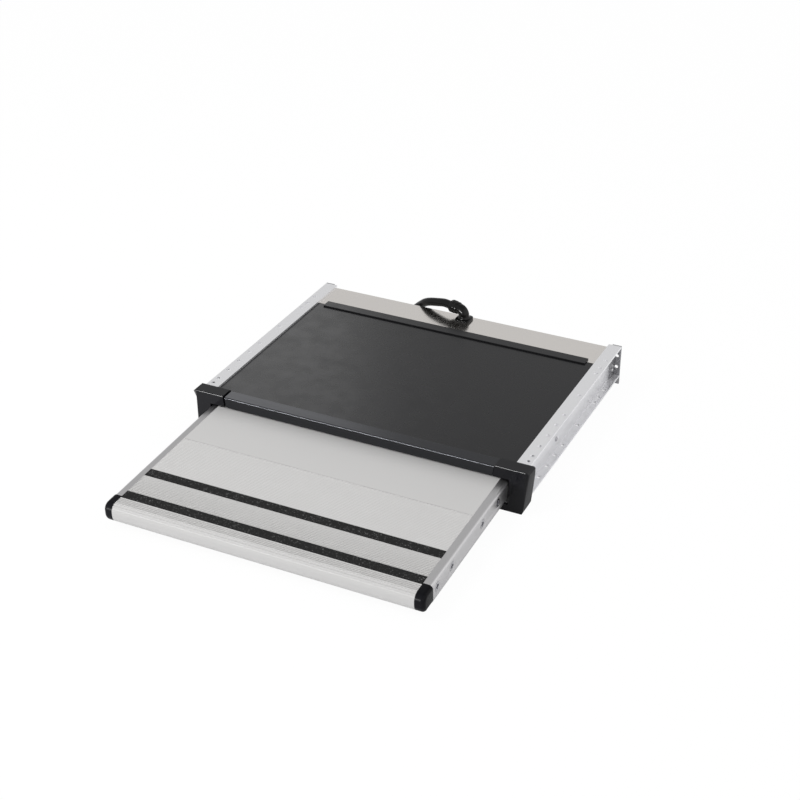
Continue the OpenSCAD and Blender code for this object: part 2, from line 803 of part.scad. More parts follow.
// Racks under the deck
module rack_teeth() {
  half = tooth_pitch / 4 - backlash / 2;
  tip = half - tooth_module * tan(pressure);
  root = half + tooth_root * tan(pressure);
  first = ceil((rack_front - shaft_y) / tooth_pitch);
  last = floor((rack_rear - shaft_y) / tooth_pitch) - 1;
  for (k = [first : last]) let (y = shaft_y + (k + 0.5) * tooth_pitch)
    polygon([
      [y - root, pitch_z + tooth_root], [y - tip, pitch_z - tooth_module],
      [y + tip, pitch_z - tooth_module], [y + root, pitch_z + tooth_root]
    ]);
}

module rack(side) {
  color("#77777a") on_slope() on_side(side) along_x(rack_x, rack_x + rack_w) {
    translate([rack_front, -deck_t - rack_body]) square([rack_rear - rack_front, rack_body]);
    translate([0, 0.01]) rack_teeth();
  }
}

// Magnet under the tie bar, read by the two position sensors on the base plate
module sensor_magnet() {
  color("#3b3b3b") on_slope()
    translate([sensor_x - magnet_size.x / 2, magnet_y, -deck_t - magnet_size.z]) cube(magnet_size);
}

module position_sensors() {
  reach = deck_z + tread_tail * sin(slope) - deck_t - magnet_size.z - sensor_gap - base_top;
  color("#202428") in_frame() for (s = [0, travel])
    translate([sensor_x - sensor_size.x / 2, magnet_y + touch + s, base_top])
      cube([sensor_size.x, sensor_size.y, reach + s * sin(slope)]);
}

// Involute gear outline, with one tooth pointing along +y
function involute(rb, r) = let (t = sqrt(max(0, pow(r / rb, 2) - 1))) t * 180 / PI - atan(t);
function flank(rb, ro, half, s) = [for (i = [0 : 5]) let (
  r = rb + (ro - rb) * i / 5, a = 90 + s * (half - involute(rb, r))) r * [cos(a), sin(a)]];

module gear_outline(teeth, m) {
  r = m * teeth / 2;
  rb = r * cos(pressure);
  ro = r + m;
  rr = r - tooth_root;
  half = (tooth_pitch / 4 - backlash / 2) / r * 180 / PI + involute(rb, r);
  circle(rr + 0.02, $fn = curve_fn);
  for (k = [0 : teeth - 1]) rotate(k * 360 / teeth) polygon(concat(
    [[0, 0], (rr - 0.1) * [cos(90 - half), sin(90 - half)]],
    flank(rb, ro, half, -1),
    [for (i = [5 : -1 : 0]) flank(rb, ro, half, 1)[i]],
    [(rr - 0.1) * [cos(90 + half), sin(90 + half)]]
  ));
}

module pinion(side) {
  color("#8a7a4a") on_slope() on_side(side) difference() {
    translate([0, shaft_y, shaft_z]) along_x(rack_x - 1, rack_x + rack_w + 1)
      gear_outline(pinion_teeth, tooth_module);
    translate([0, shaft_y, shaft_z]) rod_x(shaft_d, rack_x - 2, rack_x + rack_w + 2);
  }
}

module cross_shaft() {
  color("#9a9aa0") on_slope() translate([0, shaft_y, shaft_z]) rod_x(shaft_d, -shaft_half, shaft_half);
}

// Belt pulley with two flanges
module pulley(bore) {
  difference() {
    union() {
      rod_x(2 * pulley_r, 0, belt_w + 1);
      for (x = [-1.2, belt_w + 1]) rod_x(2 * (pulley_r + belt_t + 0.6), x, x + 1.2);
    }
    rod_x(bore, -2, belt_w + 3);
  }
}

module shaft_pulley() {
  color("#55585c") on_slope() translate([pulley_x - 0.5, shaft_y, shaft_z]) pulley(shaft_d);
}

module motor_pulley() {
  color("#55585c") in_frame() translate([pulley_x - 0.5, motor_y, motor_z]) pulley(output_d);
}

// Toothed belt between the two pulleys
module belt_loop(r) {
  circle(r, $fn = curve_fn);
  translate([belt_run, 0]) circle(r, $fn = curve_fn);
  translate([0, -r]) square([belt_run, 2 * r]);
}

module drive_belt() {
  color("#1d1d1d") in_frame() translate([0, shaft_at_y, shaft_at_z]) rotate([belt_tilt, 0, 0])
    along_x(pulley_x, pulley_x + belt_w) difference() {
      belt_loop(belt_r + belt_t);
      belt_loop(belt_r);
    }
}

// Bearing blocks of the cross shaft, on the base plate
module bearing_blocks() {
  color("#c4c4c4") in_frame() for (side = [-1, 1]) on_side(side) difference() {
    along_x(bearing_x, bearing_x + bearing_w) {
      translate([shaft_at_y - bearing_foot.x / 2, base_top]) square(bearing_foot);
      translate([shaft_at_y - bearing_r, base_top]) square([2 * bearing_r, shaft_at_z - base_top]);
      translate([shaft_at_y, shaft_at_z]) circle(bearing_r, $fn = curve_fn);
    }
    translate([0, shaft_at_y, shaft_at_z]) rod_x(bush_d, bearing_x - 1, bearing_x + bearing_w + 1);
  }
}

module shaft_bushes() {
  color("#b08d57") in_frame() for (side = [-1, 1]) on_side(side)
    translate([0, shaft_at_y, shaft_at_z]) difference() {
      rod_x(bush_d, bearing_x, bearing_x + bearing_w);
      rod_x(shaft_d + 2 * running, bearing_x - 1, bearing_x + bearing_w + 1);
    }
}

module at_motor() in_frame() translate([0, motor_y, motor_z]) children();

module motor() {
  color("#6f7276") at_motor() {
    rod_x(motor_d, motor_x, motor_x + motor_len);
    rod_x(12, motor_x + motor_len - 1, motor_x + motor_len + 3);
  }
}

module gearbox() {
  color("#8f9296") at_motor() difference() {
    rod_x(gearbox_d, gearbox_x, motor_x);
    rod_x(output_d + 2 * running, gearbox_x - 1, gearbox_x + output_bore);
  }
}

module output_shaft() {
  color("#9a9aa0") at_motor()
    rod_x(output_d, output_bearing_x - output_over, gearbox_x + output_depth);
}

module output_bearing() {
  from = output_bearing_x;
  to = from + bearing_w;
  color("#c4c4c4") in_frame() difference() {
    along_x(from, to) {
      translate([motor_y - output_foot.x / 2, base_top]) square(output_foot);
      translate([motor_y - bearing_r, base_top]) square([2 * bearing_r, motor_z - base_top]);
      translate([motor_y, motor_z]) circle(bearing_r, $fn = curve_fn);
    }
    translate([0, motor_y, motor_z]) rod_x(output_d + 2 * running, from - 1, to + 1);
  }
}

// Cradle under the motor
module motor_cradle() {
  from = motor_x + cradle_end;
  to = motor_x + motor_len - cradle_end - 2;
  color("#7d7d80") in_frame() difference() {
    translate([from, motor_y - cradle_w / 2, base_top])
      cube([to - from, cradle_w, motor_z - base_top - 4]);
    translate([0, motor_y, motor_z]) rod_x(motor_d + 4 * running, motor_x, motor_x + motor_len);
    translate([from + cradle_t, motor_y - cradle_w, base_top - 1])
      cube([to - from - 2 * cradle_t, 2 * cradle_w, motor_z]);
  }
}

module control_box() {
  color("#242629") in_frame() translate([box_x, box_y, base_top]) cube(box_size);
}

module control_box_lid() {
  color("#2d3034") in_frame() translate([box_x, box_y, base_top + box_size.z]) difference() {
    cube([box_size.x, box_size.y, lid_t]);
    translate([box_size.x / 2, box_size.y / 2, 0]) rod_z(wire_d + touch, -1, lid_t + 1);
  }
}

// Sweep of a round tube with n sides along a list of points
function unit(v) = v / norm(v);
function heading(p, i) = unit(p[min(i + 1, len(p) - 1)] - p[max(i - 1, 0)]);
function ring(p, i, r, n) = let (
  t = heading(p, i), a = unit(cross(t, [0.05, 0.2, 1])), b = cross(a, t))
  [for (k = [0 : n - 1]) p[i] + r * (a * cos(360 * k / n) + b * sin(360 * k / n))];

module tube(p, r, n) {
  last = len(p) - 1;
  polyhedron(
    points = [for (i = [0 : last]) each ring(p, i, r, n)],
    faces = concat(
      [[for (k = [0 : n - 1]) k]],
      [for (i = [0 : last - 1], k = [0 : n - 1]) let (a = i * n + k, b = i * n + (k + 1) % n)
        each [[a, b + n, b], [a, a + n, b + n]]],
      [[for (k = [n - 1 : -1 : 0]) last * n + k]]
    ));
}

module motor_lead() {
  from = motor_x + motor_len;
  color("#b33") in_frame() tube([
    [from, motor_y + 6, motor_z + 11], [from + 4, motor_y + 6, motor_z + 11],
    [box_x - 4, box_y + 17, base_top + 14], [box_x, box_y + 17, base_top + 14]
  ], 1.6, 8);
}

// Wires from the elbow to the lid of the control box
module supply_wires() {
  lid_x = box_x + box_size.x / 2;
  lid_y = box_y + box_size.y / 2;
  lid_top = base_top + box_size.z + lid_t;
  wire_run = 40;
  color("#333") in_frame() tube([
    [elbow_x, elbow_y, lip_under + gasket_t + foot_t],
    [elbow_x, elbow_y, lip_under - 1], [elbow_x + 1.6, elbow_y, lip_under - 4],
    [elbow_x + 6, elbow_y - 0.5, lip_under - 5],
    [elbow_x + wire_run, lid_y + 2, lip_under - 5],
    [lid_x - 20, lid_y + 1, lip_under - 5], [lid_x - 6, lid_y, lid_top + 7],
    [lid_x, lid_y, lid_top + 2], [lid_x, lid_y, lid_top - lid_t]
  ], wire_d / 2, 8);
}

// Elbow that takes the supply wires through the motor cover
module at_elbow() in_frame() translate([elbow_x, elbow_y, 0]) rotate(-elbow_yaw) children();

// Outline of the elbow's foot, square to the housing
module elbow_plate() {
  half = elbow_foot / 2;
  rotate(elbow_yaw) round_box([-half, -half], [half, half], elbow_foot / 4);
}

module elbow_gasket() {
  color("#141414") at_elbow() difference() {
    translate([0, 0, lip_under]) linear_extrude(gasket_t) elbow_plate();
    rod_z(2 * (wire_bore + 1.5), lip_under - 1, lip_under + gasket_t + 1);
  }
}

// A quarter turn of a round bar, from upright to level
module quarter_bend(r) {
  rotate([90, 0, 0]) rotate_extrude(angle = 90, $fn = curve_fn)
    translate([elbow_bend, 0]) circle(r, $fn = curve_fn);
}

module conduit_elbow() {
  foot_z = lip_under + gasket_t;
  bend_z = elbow_z - elbow_bend;
  color("#1b1b1c") at_elbow() difference() {
    union() {
      translate([0, 0, foot_z]) linear_extrude(foot_t) elbow_plate();
      rod_z(2 * elbow_r, foot_z + 0.1, bend_z);
      rod_z(2 * elbow_r + 3, foot_z + 0.1, foot_z + foot_t + 1.5);
      translate([-elbow_bend, 0, bend_z]) quarter_bend(elbow_r);
    }
    rod_z(2 * wire_bore, foot_z - 1, bend_z);
    translate([-elbow_bend, 0, bend_z]) quarter_bend(wire_bore);
  }
}

module elbow_nut() {
  color("#161617") at_elbow() translate([-elbow_bend - nut_len, 0, elbow_z]) difference() {
    union() {
      rod_x(nut_d, 1, nut_len * 0.62);
      rod_x(nut_d - 2, 0, 1.5);
      rod_x(nut_d - 1.6, nut_len * 0.6, nut_len);
    }
    rod_x(2 * wire_bore, -1, nut_len + 1);
  }
}

module conduit() {
  color("#161616") in_frame() tube(conduit_route, conduit_d / 2, 12);
}

// Two-way plug at the end of the conduit, lying on the ground
module plug() {
  end = conduit_route[len(conduit_route) - 1];
  color("#202022") in_frame() translate([end.x - plug_len, end.y, end.z]) difference() {
    union() {
      rod_x(conduit_d + 0.6, plug_size.x - 1, plug_len);
      translate([0, -plug_size.y / 2, -plug_size.z / 2]) cube(plug_size);
      translate([plug_size.x / 4, -3, plug_size.z / 2 - 0.5]) cube([12, 6, 2]);
    }
    translate([-1, -socket_size.y / 2, -socket_size.z / 2]) cube(socket_size + [1, 0, 0]);
  }
}

rail(-1);  // left_rail
rail(1);  // right_rail
bracket(-1);  // left_bracket
bracket(1);  // right_bracket
bezel();
wiper_seal();
top_plate();
rear_trim_strip();
motor_cover();
base_plate();
base_rivets();
rear_bracket(-1);  // left_rear_bracket
rear_bracket(1);  // right_rear_bracket
rear_rivets();
guide(-1);  // left_guide
guide(1);  // right_guide
guide_screws();
front_lower_glides();
front_upper_glides();
end_buffers();
front_plank();
rear_plank();
side_profile(-1);  // left_side_profile
side_profile(1);  // right_side_profile
cap(-1);  // left_cap
cap(1);  // right_cap
grip_strip(front_grip_y);  // front_grip_strip
grip_strip(rear_grip_y);  // rear_grip_strip
tread_screws();
tread_tie_bar();
rear_glides();
rack(-1);  // left_rack
rack(1);  // right_rack
sensor_magnet();
cross_shaft();
pinion(-1);  // left_pinion
pinion(1);  // right_pinion
shaft_pulley();
bearing_blocks();
shaft_bushes();
drive_belt();
motor();
gearbox();
output_shaft();
motor_pulley();
output_bearing();
motor_cradle();
control_box();
control_box_lid();
motor_lead();
supply_wires();
position_sensors();
elbow_gasket();
conduit_elbow();
elbow_nut();
conduit();
plug();
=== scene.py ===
# %% [markdown]
# # The looks of a pull out entrance step
# A powered step for a caravan: a flat housing of aluminium rails, black corner brackets and a
# black top plate, with a ribbed aluminium tread that slides out of its front. The CAD model
# brings every piece at its true size and place. This script gives each piece its finish, and
# rebuilds the pieces that show most as finer surfaces, worked out with numpy.

# %% Load the CAD model
import json
import math
import bpy
import bmesh
import numpy as np
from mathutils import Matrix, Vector


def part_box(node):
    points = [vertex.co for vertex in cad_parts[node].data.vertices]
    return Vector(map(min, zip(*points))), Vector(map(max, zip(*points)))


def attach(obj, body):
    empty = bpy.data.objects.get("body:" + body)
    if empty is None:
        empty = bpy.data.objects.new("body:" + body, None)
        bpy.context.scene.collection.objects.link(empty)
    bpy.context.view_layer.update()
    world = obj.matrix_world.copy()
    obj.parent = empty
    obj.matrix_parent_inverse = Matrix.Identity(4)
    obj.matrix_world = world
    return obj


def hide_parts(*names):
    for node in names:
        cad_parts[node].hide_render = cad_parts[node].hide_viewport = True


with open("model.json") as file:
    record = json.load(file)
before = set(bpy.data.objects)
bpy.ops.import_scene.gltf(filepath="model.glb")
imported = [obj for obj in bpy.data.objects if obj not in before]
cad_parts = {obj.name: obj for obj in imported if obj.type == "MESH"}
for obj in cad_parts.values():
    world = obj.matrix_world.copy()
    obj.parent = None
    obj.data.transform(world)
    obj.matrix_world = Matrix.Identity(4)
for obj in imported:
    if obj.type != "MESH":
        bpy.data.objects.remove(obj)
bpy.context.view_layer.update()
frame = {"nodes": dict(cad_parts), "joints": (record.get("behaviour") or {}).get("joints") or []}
MM = 0.001

# %% [markdown]
# ## Places on the sloping tread
# The tread falls a little to the front, and its slide runs along that slope. So its pieces are
# easiest to draw in their own flat plane: v runs along the slope from the bezel's front face, w
# is the height above the deck. The slope comes from the joint's axis, and the deck's height
# from the highest points of the rear plank, so both stay true if the CAD model changes.

# %% Turn points between the frame and the tread's own plane
slide = next(joint for joint in frame["joints"] if joint["name"] == "tread_slide")
SLOPE = math.atan2(slide["axis"][2], slide["axis"][1])
COS, SIN = math.cos(SLOPE), math.sin(SLOPE)


def node_points(node):
    """Corner points of a CAD node, as an array of x, y, z."""
    mesh = frame["nodes"][node].data
    points = np.empty(len(mesh.vertices) * 3)
    mesh.vertices.foreach_get("co", points)
    return points.reshape(-1, 3)


MOUTH_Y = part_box("bezel")[0].y
plank = node_points("rear_plank")
DECK_Z = np.max((plank[:, 2] * COS - (plank[:, 1] - MOUTH_Y) * SIN)) / COS


def from_slope(x, v, w):
    """x, v, w on the tread to x, y, z: a turn by the slope about the mouth's deck line."""
    x, v, w = np.broadcast_arrays(x, v, w)
    return np.stack([x, MOUTH_Y + v * COS - w * SIN, DECK_Z + v * SIN + w * COS], axis=-1)


def to_slope(points):
    """The turn back, from x, y, z to x, v, w."""
    y, z = points[..., 1] - MOUTH_Y, points[..., 2] - DECK_Z
    return np.stack([points[..., 0], y * COS + z * SIN, z * COS - y * SIN], axis=-1)


def slope_box(node):
    """Lowest and highest x, v, w of a node of the tread."""
    points = to_slope(node_points(node))
    return points.min(axis=0), points.max(axis=0)


print("slope in degrees:", round(math.degrees(SLOPE), 3), "deck height:", round(DECK_Z, 5))

# %% [markdown]
# ## The camera
# The photograph was taken from the front right, about two metres away, with a long lens. The
# angles and the lens were worked out once from lines of the object whose real lengths are
# known, such as the rails and the anti-slip strips. They are plain numbers here.

# %% Set up the camera
CAMERA_PLACE = (0.75361, -1.48902, 1.04058)
CAMERA_AZIMUTH, CAMERA_ELEVATION = 25.772, 30.194
LENS, SENSOR = 71.31, 36.0

camera_data = bpy.data.cameras.new("camera")
camera_data.lens = LENS
camera_data.sensor_width = SENSOR
camera = bpy.data.objects.new("camera", camera_data)
camera.location = CAMERA_PLACE
camera.rotation_euler = (math.radians(90 - CAMERA_ELEVATION), 0, math.radians(CAMERA_AZIMUTH))
bpy.context.scene.collection.objects.link(camera)
bpy.context.scene.camera = camera
bpy.context.scene.view_settings.view_transform = "Standard"
print("camera at", CAMERA_PLACE)

# %% [markdown]
# ## Meshes from grids
# Nearly every new piece is a row of rings: a cross-section carried along a path, or a circle
# that grows and shrinks along an axis. A ring is one row of a grid of points. Neighbouring rows
# are joined by four-sided faces, and the first and last ring are closed by one face each, so
# the piece is a closed solid. Blender then turns all faces outwards.

# %% Helpers that turn rings into solids


def grid_faces(rings, points):
    """Faces between neighbouring rings of a grid, closed round each ring."""
    ring, point = np.meshgrid(np.arange(rings - 1), np.arange(points), indexing="ij")
    after = (point + 1) % points
    corners = [ring * points + point, ring * points + after,
               (ring + 1) * points + after, (ring + 1) * points + point]
    return np.stack(corners, axis=-1).reshape(-1, 4)


def solid(rings):
    """Points and faces of a closed solid from an array of rings, with both end rings capped."""
    count, around = rings.shape[:2]
    faces = grid_faces(count, around).tolist()
    faces.append(list(range(around)))
    faces.append(list(range((count - 1) * around, count * around)))
    return rings.reshape(-1, 3), faces


def joined(shells):
    """Several solids as one list of points and one list of faces."""
    points, faces, first = [], [], 0
    for shell_points, shell_faces in shells:
        points.append(shell_points)
        faces += [[first + corner for corner in face] for face in shell_faces]
        first += len(shell_points)
    return np.concatenate(points), faces


SHARP_ANGLE = 32


def finish_mesh(mesh, sharp):
    """Outward faces, smooth shading and sharp edges where two faces meet at a clear angle."""
    work = bmesh.new()
    work.from_mesh(mesh)
    bmesh.ops.recalc_face_normals(work, faces=work.faces)
    work.to_mesh(mesh)
    work.free()
    mesh.polygons.foreach_set("use_smooth", np.ones(len(mesh.polygons), bool))
    mesh.set_sharp_from_angle(angle=math.radians(sharp))


def add_piece(name, mesh, body, material, stands_for=()):
    """Link a mesh as a piece that rides on a body and stands for its CAD nodes."""
    piece = bpy.data.objects.new(name, mesh)
    bpy.context.scene.collection.objects.link(piece)
    mesh.materials.append(material)
    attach(piece, body)
    if stands_for:
        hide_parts(*stands_for)
    return piece


def add_solid(name, shell, body, material, stands_for=(), sharp=SHARP_ANGLE):
    """Make a piece from the points and faces of one or more closed solids."""
    points, faces = shell
    mesh = bpy.data.meshes.new(name)
    mesh.from_pydata(points.tolist(), [], faces)
    finish_mesh(mesh, sharp)
    print(name, "has", len(mesh.polygons), "faces")
    return add_piece(name, mesh, body, material, stands_for)


def arc(centre, radius, start, end, steps):
    """Points of an arc, by angle in degrees from the first axis to the second."""
    turn = np.radians(np.linspace(start, end, steps + 1))
    return np.stack([centre[0] + radius * np.cos(turn), centre[1] + radius * np.sin(turn)], axis=-1)


def rounded(corners, radius, steps=4, support=0.3 * MM):
    """An outline with each corner turned into an arc-like curve: a quadratic curve between
    points at the radius before and after the corner, with the corner as its control point.
    A support point beyond each end of the curve keeps the shading of the flat faces flat."""
    corners = np.asarray(corners, float)
    before = np.roll(corners, 1, axis=0) - corners
    after = np.roll(corners, -1, axis=0) - corners
    radius = np.broadcast_to(radius, len(corners))
    to_before = before / np.linalg.norm(before, axis=1)[:, None]
    to_after = after / np.linalg.norm(after, axis=1)[:, None]
    reach = radius[:, None]
    start, end = corners + to_before * reach, corners + to_after * reach
    t = np.linspace(0, 1, steps + 1)[None, :, None]
    curve = (1 - t) ** 2 * start[:, None] + 2 * t * (1 - t) * corners[:, None] + t ** 2 * end[:, None]
    if support:
        first, last = corners + to_before * (reach + support), corners + to_after * (reach + support)
        curve = np.concatenate([first[:, None], curve, last[:, None]], axis=1)
    return curve.reshape(-1, 2)


# %% [markdown]
# ## The supply conduit
# A round black conduit brings the vehicle's supply to the motor cover. It leaves the elbow's
# nut, bends over the cover's rear edge and lies on the ground behind the housing, where it ends
# in a plug. Its route repeats the points of the CAD model. A smooth curve through the points
# (Catmull-Rom: each stretch starts and ends along the line between its neighbours) becomes a
# tube: a circle carried along the path, square to it.

# %% Route of the conduit
ROUTE = MM * np.array([
    [-21.5, 333, 68], [-33, 336.2, 68], [-45, 338.5, 65.5], [-56, 341, 62.5], [-65, 344.8, 58],
    [-73, 348.5, 51.5], [-82, 351.5, 43], [-91, 353.5, 33.5], [-102, 355, 22.8], [-113, 356, 15.4],
    [-126, 357, 9.8], [-140, 357, 6.9], [-154, 357, 6.2], [-168, 357, 6.2], [-182, 357, 6.2],
]) + [0, MOUTH_Y, 0]
CONDUIT_D = 11.4 * MM


def smooth_path(points, steps):
    """Catmull-Rom curve through the points: a cubic per stretch, from its four neighbours."""
    padded = np.concatenate([[2 * points[0] - points[1]], points, [2 * points[-1] - points[-2]]])
    a, b, c, d = padded[:-3], padded[1:-2], padded[2:-1], padded[3:]
    t = (np.arange(steps) / steps)[None, :, None]
    curve = 0.5 * (2 * b[:, None] + (c - a)[:, None] * t
                   + (2 * a - 5 * b + 4 * c - d)[:, None] * t ** 2
                   + (3 * b - a - 3 * c + d)[:, None] * t ** 3)
    return np.concatenate([curve.reshape(-1, 3), points[-1:]])


def unit(vectors):
    """Each vector at length one."""
    return vectors / np.linalg.norm(vectors, axis=-1, keepdims=True)


def tube(path, radius, around, side=(0, 1, 0)):
    """Rings of a tube: at each point of the path, the circle radius * (cos t, sin t) in the
    plane square to the path. The radius may be one number or one for each point."""
    along = unit(np.gradient(path, axis=0))
    across = unit(np.cross(along, side))
    up = np.cross(across, along)
    turn = np.linspace(0, 2 * np.pi, around, endpoint=False)[None, :, None]
    radius = np.broadcast_to(radius, len(path))[:, None, None]
    return path[:, None] + radius * (across[:, None] * np.cos(turn) + up[:, None] * np.sin(turn))


conduit_path = smooth_path(ROUTE, 6)

# %% [markdown]
# ## Materials
# Metals, plastics and rubber differ in three things here: how much they mirror, how rough they
# are, and the fine marks that their making leaves. Extruded and rolled metal has faint lines
# along one axis, moulded plastic has a fine grain, and every surface varies a little in gloss.
# The patterns are noise on Object coordinates, so they stay put on the piece from any side.

# %% Helpers for procedural materials


class Finish:
    """A material with its shader, and short ways to add the nodes of a pattern."""

    def __init__(self, name, colour, roughness, metallic=0.0, specular=0.5):
        self.material = bpy.data.materials.new(name)
        self.material.use_nodes = True
        self.nodes = self.material.node_tree.nodes
        self.links = self.material.node_tree.links
        self.shader = self.nodes["Principled BSDF"]
        self.colour, self.roughness = colour, roughness
        self.shader.inputs["Metallic"].default_value = metallic
        self.shader.inputs["Specular IOR Level"].default_value = specular
        self.coordinates = self.nodes.new("ShaderNodeTexCoord").outputs["Object"]

    def noise(self, scale, stretch=(1, 1, 1), detail=3.0):
        """Soft noise, with a stretch for each axis: a small one draws lines along that axis."""
        mapping = self.nodes.new("ShaderNodeMapping")
        mapping.inputs["Scale"].default_value = stretch
        noise = self.nodes.new("ShaderNodeTexNoise")
        noise.inputs["Scale"].default_value = scale
        noise.inputs["Detail"].default_value = detail
        self.links.new(self.coordinates, mapping.inputs["Vector"])
        self.links.new(mapping.outputs["Vector"], noise.inputs["Vector"])
        return noise.outputs["Fac"]

    def vary(self, factor, low, high, from_low=0.3, from_high=0.7):
        """Map a pattern to the range from low to high."""
        ranged = self.nodes.new("ShaderNodeMapRange")
        for name, value in zip(("From Min", "From Max", "To Min", "To Max"),
                               (from_low, from_high, low, high)):
            ranged.inputs[name].default_value = value
        self.links.new(factor, ranged.inputs["Value"])
        return ranged.outputs["Result"]

    def tint(self, factor, spread):
        """Let the colour swing a little darker and lighter with a pattern."""
        mix = self.nodes.new("ShaderNodeMix")
        mix.data_type = "RGBA"
        low = [max(0, c * (1 - spread)) for c in self.colour]
        high = [min(1, c * (1 + spread)) for c in self.colour]
        mix.inputs["A"].default_value = (*low, 1)
        mix.inputs["B"].default_value = (*high, 1)
        mix.inputs["Factor"].default_value = 0.5
        self.links.new(factor, mix.inputs["Factor"])
        self.links.new(mix.outputs["Result"], self.shader.inputs["Base Color"])

    def gloss(self, factor, spread):
        """Let the roughness swing with a pattern."""
        low, high = self.roughness * (1 - spread), self.roughness * (1 + spread)
        self.links.new(self.vary(factor, low, high), self.shader.inputs["Roughness"])

    def bump(self, factor, depth, strength):
        """Raise the surface by a pattern, with its depth in metres. No depth means no bump."""
        if depth == 0:
            return
        bump = self.nodes.new("ShaderNodeBump")
        bump.inputs["Strength"].default_value = strength
        bump.inputs["Distance"].default_value = depth
        self.links.new(factor, bump.inputs["Height"])
        self.links.new(bump.outputs["Normal"], self.shader.inputs["Normal"])


def stretch_along(axis, share):
    """A stretch that draws a noise out along one axis, 0 for X, 1 for Y and 2 for Z."""
    return tuple(share if i == axis else 1.0 for i in range(3))


# %% [markdown]
# ### Metals
# An aluminium extrusion keeps fine die lines along its length. Anodising greys it and makes it
# satin, and thick anodising, as on the rails and the deck, hides the lines, so there they have
# no depth. Rolled steel sheet is smoother and mirrors more, with soft cloudy marks.

# %% Metals


def extruded(name, colour, roughness, axis, line_depth=0.0, spread=0.05, metallic=1.0, swing=0.18):
    """Extruded metal: thin lines along its axis and a cloudy tone. The spread is the swing of
    the tone, and the swing that of the roughness from line to line."""
    finish = Finish(name, colour, roughness, metallic)
    lines = finish.noise(900, stretch_along(axis, 0.004), detail=4)
    clouds = finish.noise(28, stretch_along(axis, 0.3), detail=4)
    finish.tint(clouds, spread)
    finish.gloss(lines, swing)
    finish.bump(lines, line_depth, strength=0.5)
    return finish.material


def plain_metal(name, colour, roughness, grain=0.003 * MM):
    """Cast, turned or plated metal: a fine grain and a slightly uneven tone."""
    finish = Finish(name, colour, roughness, metallic=1.0)
    specks = finish.noise(1400, detail=3)
    finish.tint(finish.noise(60, detail=3), 0.08)
    finish.gloss(specks, 0.25)
    finish.bump(specks, grain, strength=0.6)
    return finish.material


RAIL_METAL = extruded("rail_aluminium", (0.80, 0.80, 0.815), 0.30, axis=1, spread=0.01,
                      metallic=0.8, swing=0.02)
DECK_METAL = extruded("deck_aluminium", (0.52, 0.515, 0.51), 0.38, axis=0, spread=0.01,
                      metallic=0.15, swing=0.04)
NOSE_METAL = extruded("nose_aluminium", (0.515, 0.51, 0.505), 0.36, axis=0, spread=0.01,
                      metallic=0.15, swing=0.04)
SIDE_METAL = extruded("side_aluminium", (0.53, 0.525, 0.53), 0.34, axis=1,
                      line_depth=0.0006 * MM, spread=0.02)
BEZEL_METAL = extruded("bezel_aluminium", (0.045, 0.046, 0.050), 0.22, axis=0,
                       line_depth=0.0003 * MM)
COVER_METAL = extruded("cover_steel", (0.76, 0.73, 0.70), 0.18, axis=0, line_depth=0.0003 * MM,
                       spread=0.02)
ZINC_METAL = plain_metal("zinc_steel", (0.34, 0.34, 0.35), 0.38)
RIVET_METAL = plain_metal("rivet_steel", (0.66, 0.66, 0.67), 0.30)
SCREW_METAL = plain_metal("screw_steel", (0.42, 0.42, 0.44), 0.14)
CAST_METAL = plain_metal("cast_alloy", (0.62, 0.62, 0.62), 0.45, grain=0.02 * MM)
BRONZE_METAL = plain_metal("bush_bronze", (0.60, 0.42, 0.20), 0.35)
MOTOR_METAL = plain_metal("motor_steel", (0.34, 0.34, 0.36), 0.35)
GEARBOX_METAL = plain_metal("gearbox_alloy", (0.52, 0.52, 0.53), 0.42)
RACK_METAL = plain_metal("rack_steel", (0.38, 0.38, 0.40), 0.32)
MAGNET_METAL = plain_metal("magnet_dark", (0.12, 0.12, 0.125), 0.30)
SHAFT_METAL = plain_metal("shaft_steel", (0.58, 0.58, 0.60), 0.20)
PULLEY_METAL = plain_metal("pulley_alloy", (0.46, 0.46, 0.48), 0.34)

# %% [markdown]
# ### Plastics, paint and rubber
# The black pieces are told apart by their gloss: the top plate is satin paint, the brackets and
# caps are glossier moulded plastic, the strips are dull and gritty, the rubber is matt.

# %% Plastics, paint and rubber


def moulded(name, colour, roughness, grain=0.004 * MM, spread=0.12, specular=0.5):
    """Moulded plastic or paint: a fine raised grain, and gloss that changes over a few
    centimetres."""
    finish = Finish(name, colour, roughness, specular=specular)
    grain_noise = finish.noise(1500, detail=2)
    clouds = finish.noise(40, detail=3)
    finish.tint(clouds, spread)
    finish.gloss(clouds, 0.2)
    finish.bump(grain_noise, grain, strength=0.5)
    return finish.material


BRACKET_PLASTIC = moulded("bracket_plastic", (0.004, 0.004, 0.005), 0.14, grain=0.0002 * MM,
                          specular=0.20)
CAP_PLASTIC = moulded("cap_plastic", (0.004, 0.004, 0.005), 0.28, specular=0.05)
PLATE_PAINT = moulded("plate_black", (0.010, 0.010, 0.011), 0.26, grain=0.0, spread=0.03,
                      specular=0.20)
TRIM_PAINT = moulded("trim_black", (0.012, 0.012, 0.013), 0.30, grain=0.002 * MM, specular=0.20)
RUBBER = moulded("rubber", (0.018, 0.018, 0.018), 0.60)
GUIDE_PLASTIC = moulded("guide_plastic", (0.025, 0.025, 0.025), 0.42)
GLIDE_PLASTIC = moulded("glide_plastic", (0.030, 0.030, 0.031), 0.45, spread=0.03)
BELT_RUBBER = moulded("belt_rubber", (0.020, 0.020, 0.020), 0.55)
BOX_PLASTIC = moulded("box_plastic", (0.030, 0.032, 0.036), 0.40)
LEAD_SHEATH = moulded("lead_sheath", (0.030, 0.030, 0.030), 0.40)
CONDUIT_PLASTIC = moulded("conduit_plastic", (0.002, 0.002, 0.002), 0.18, specular=0.18)
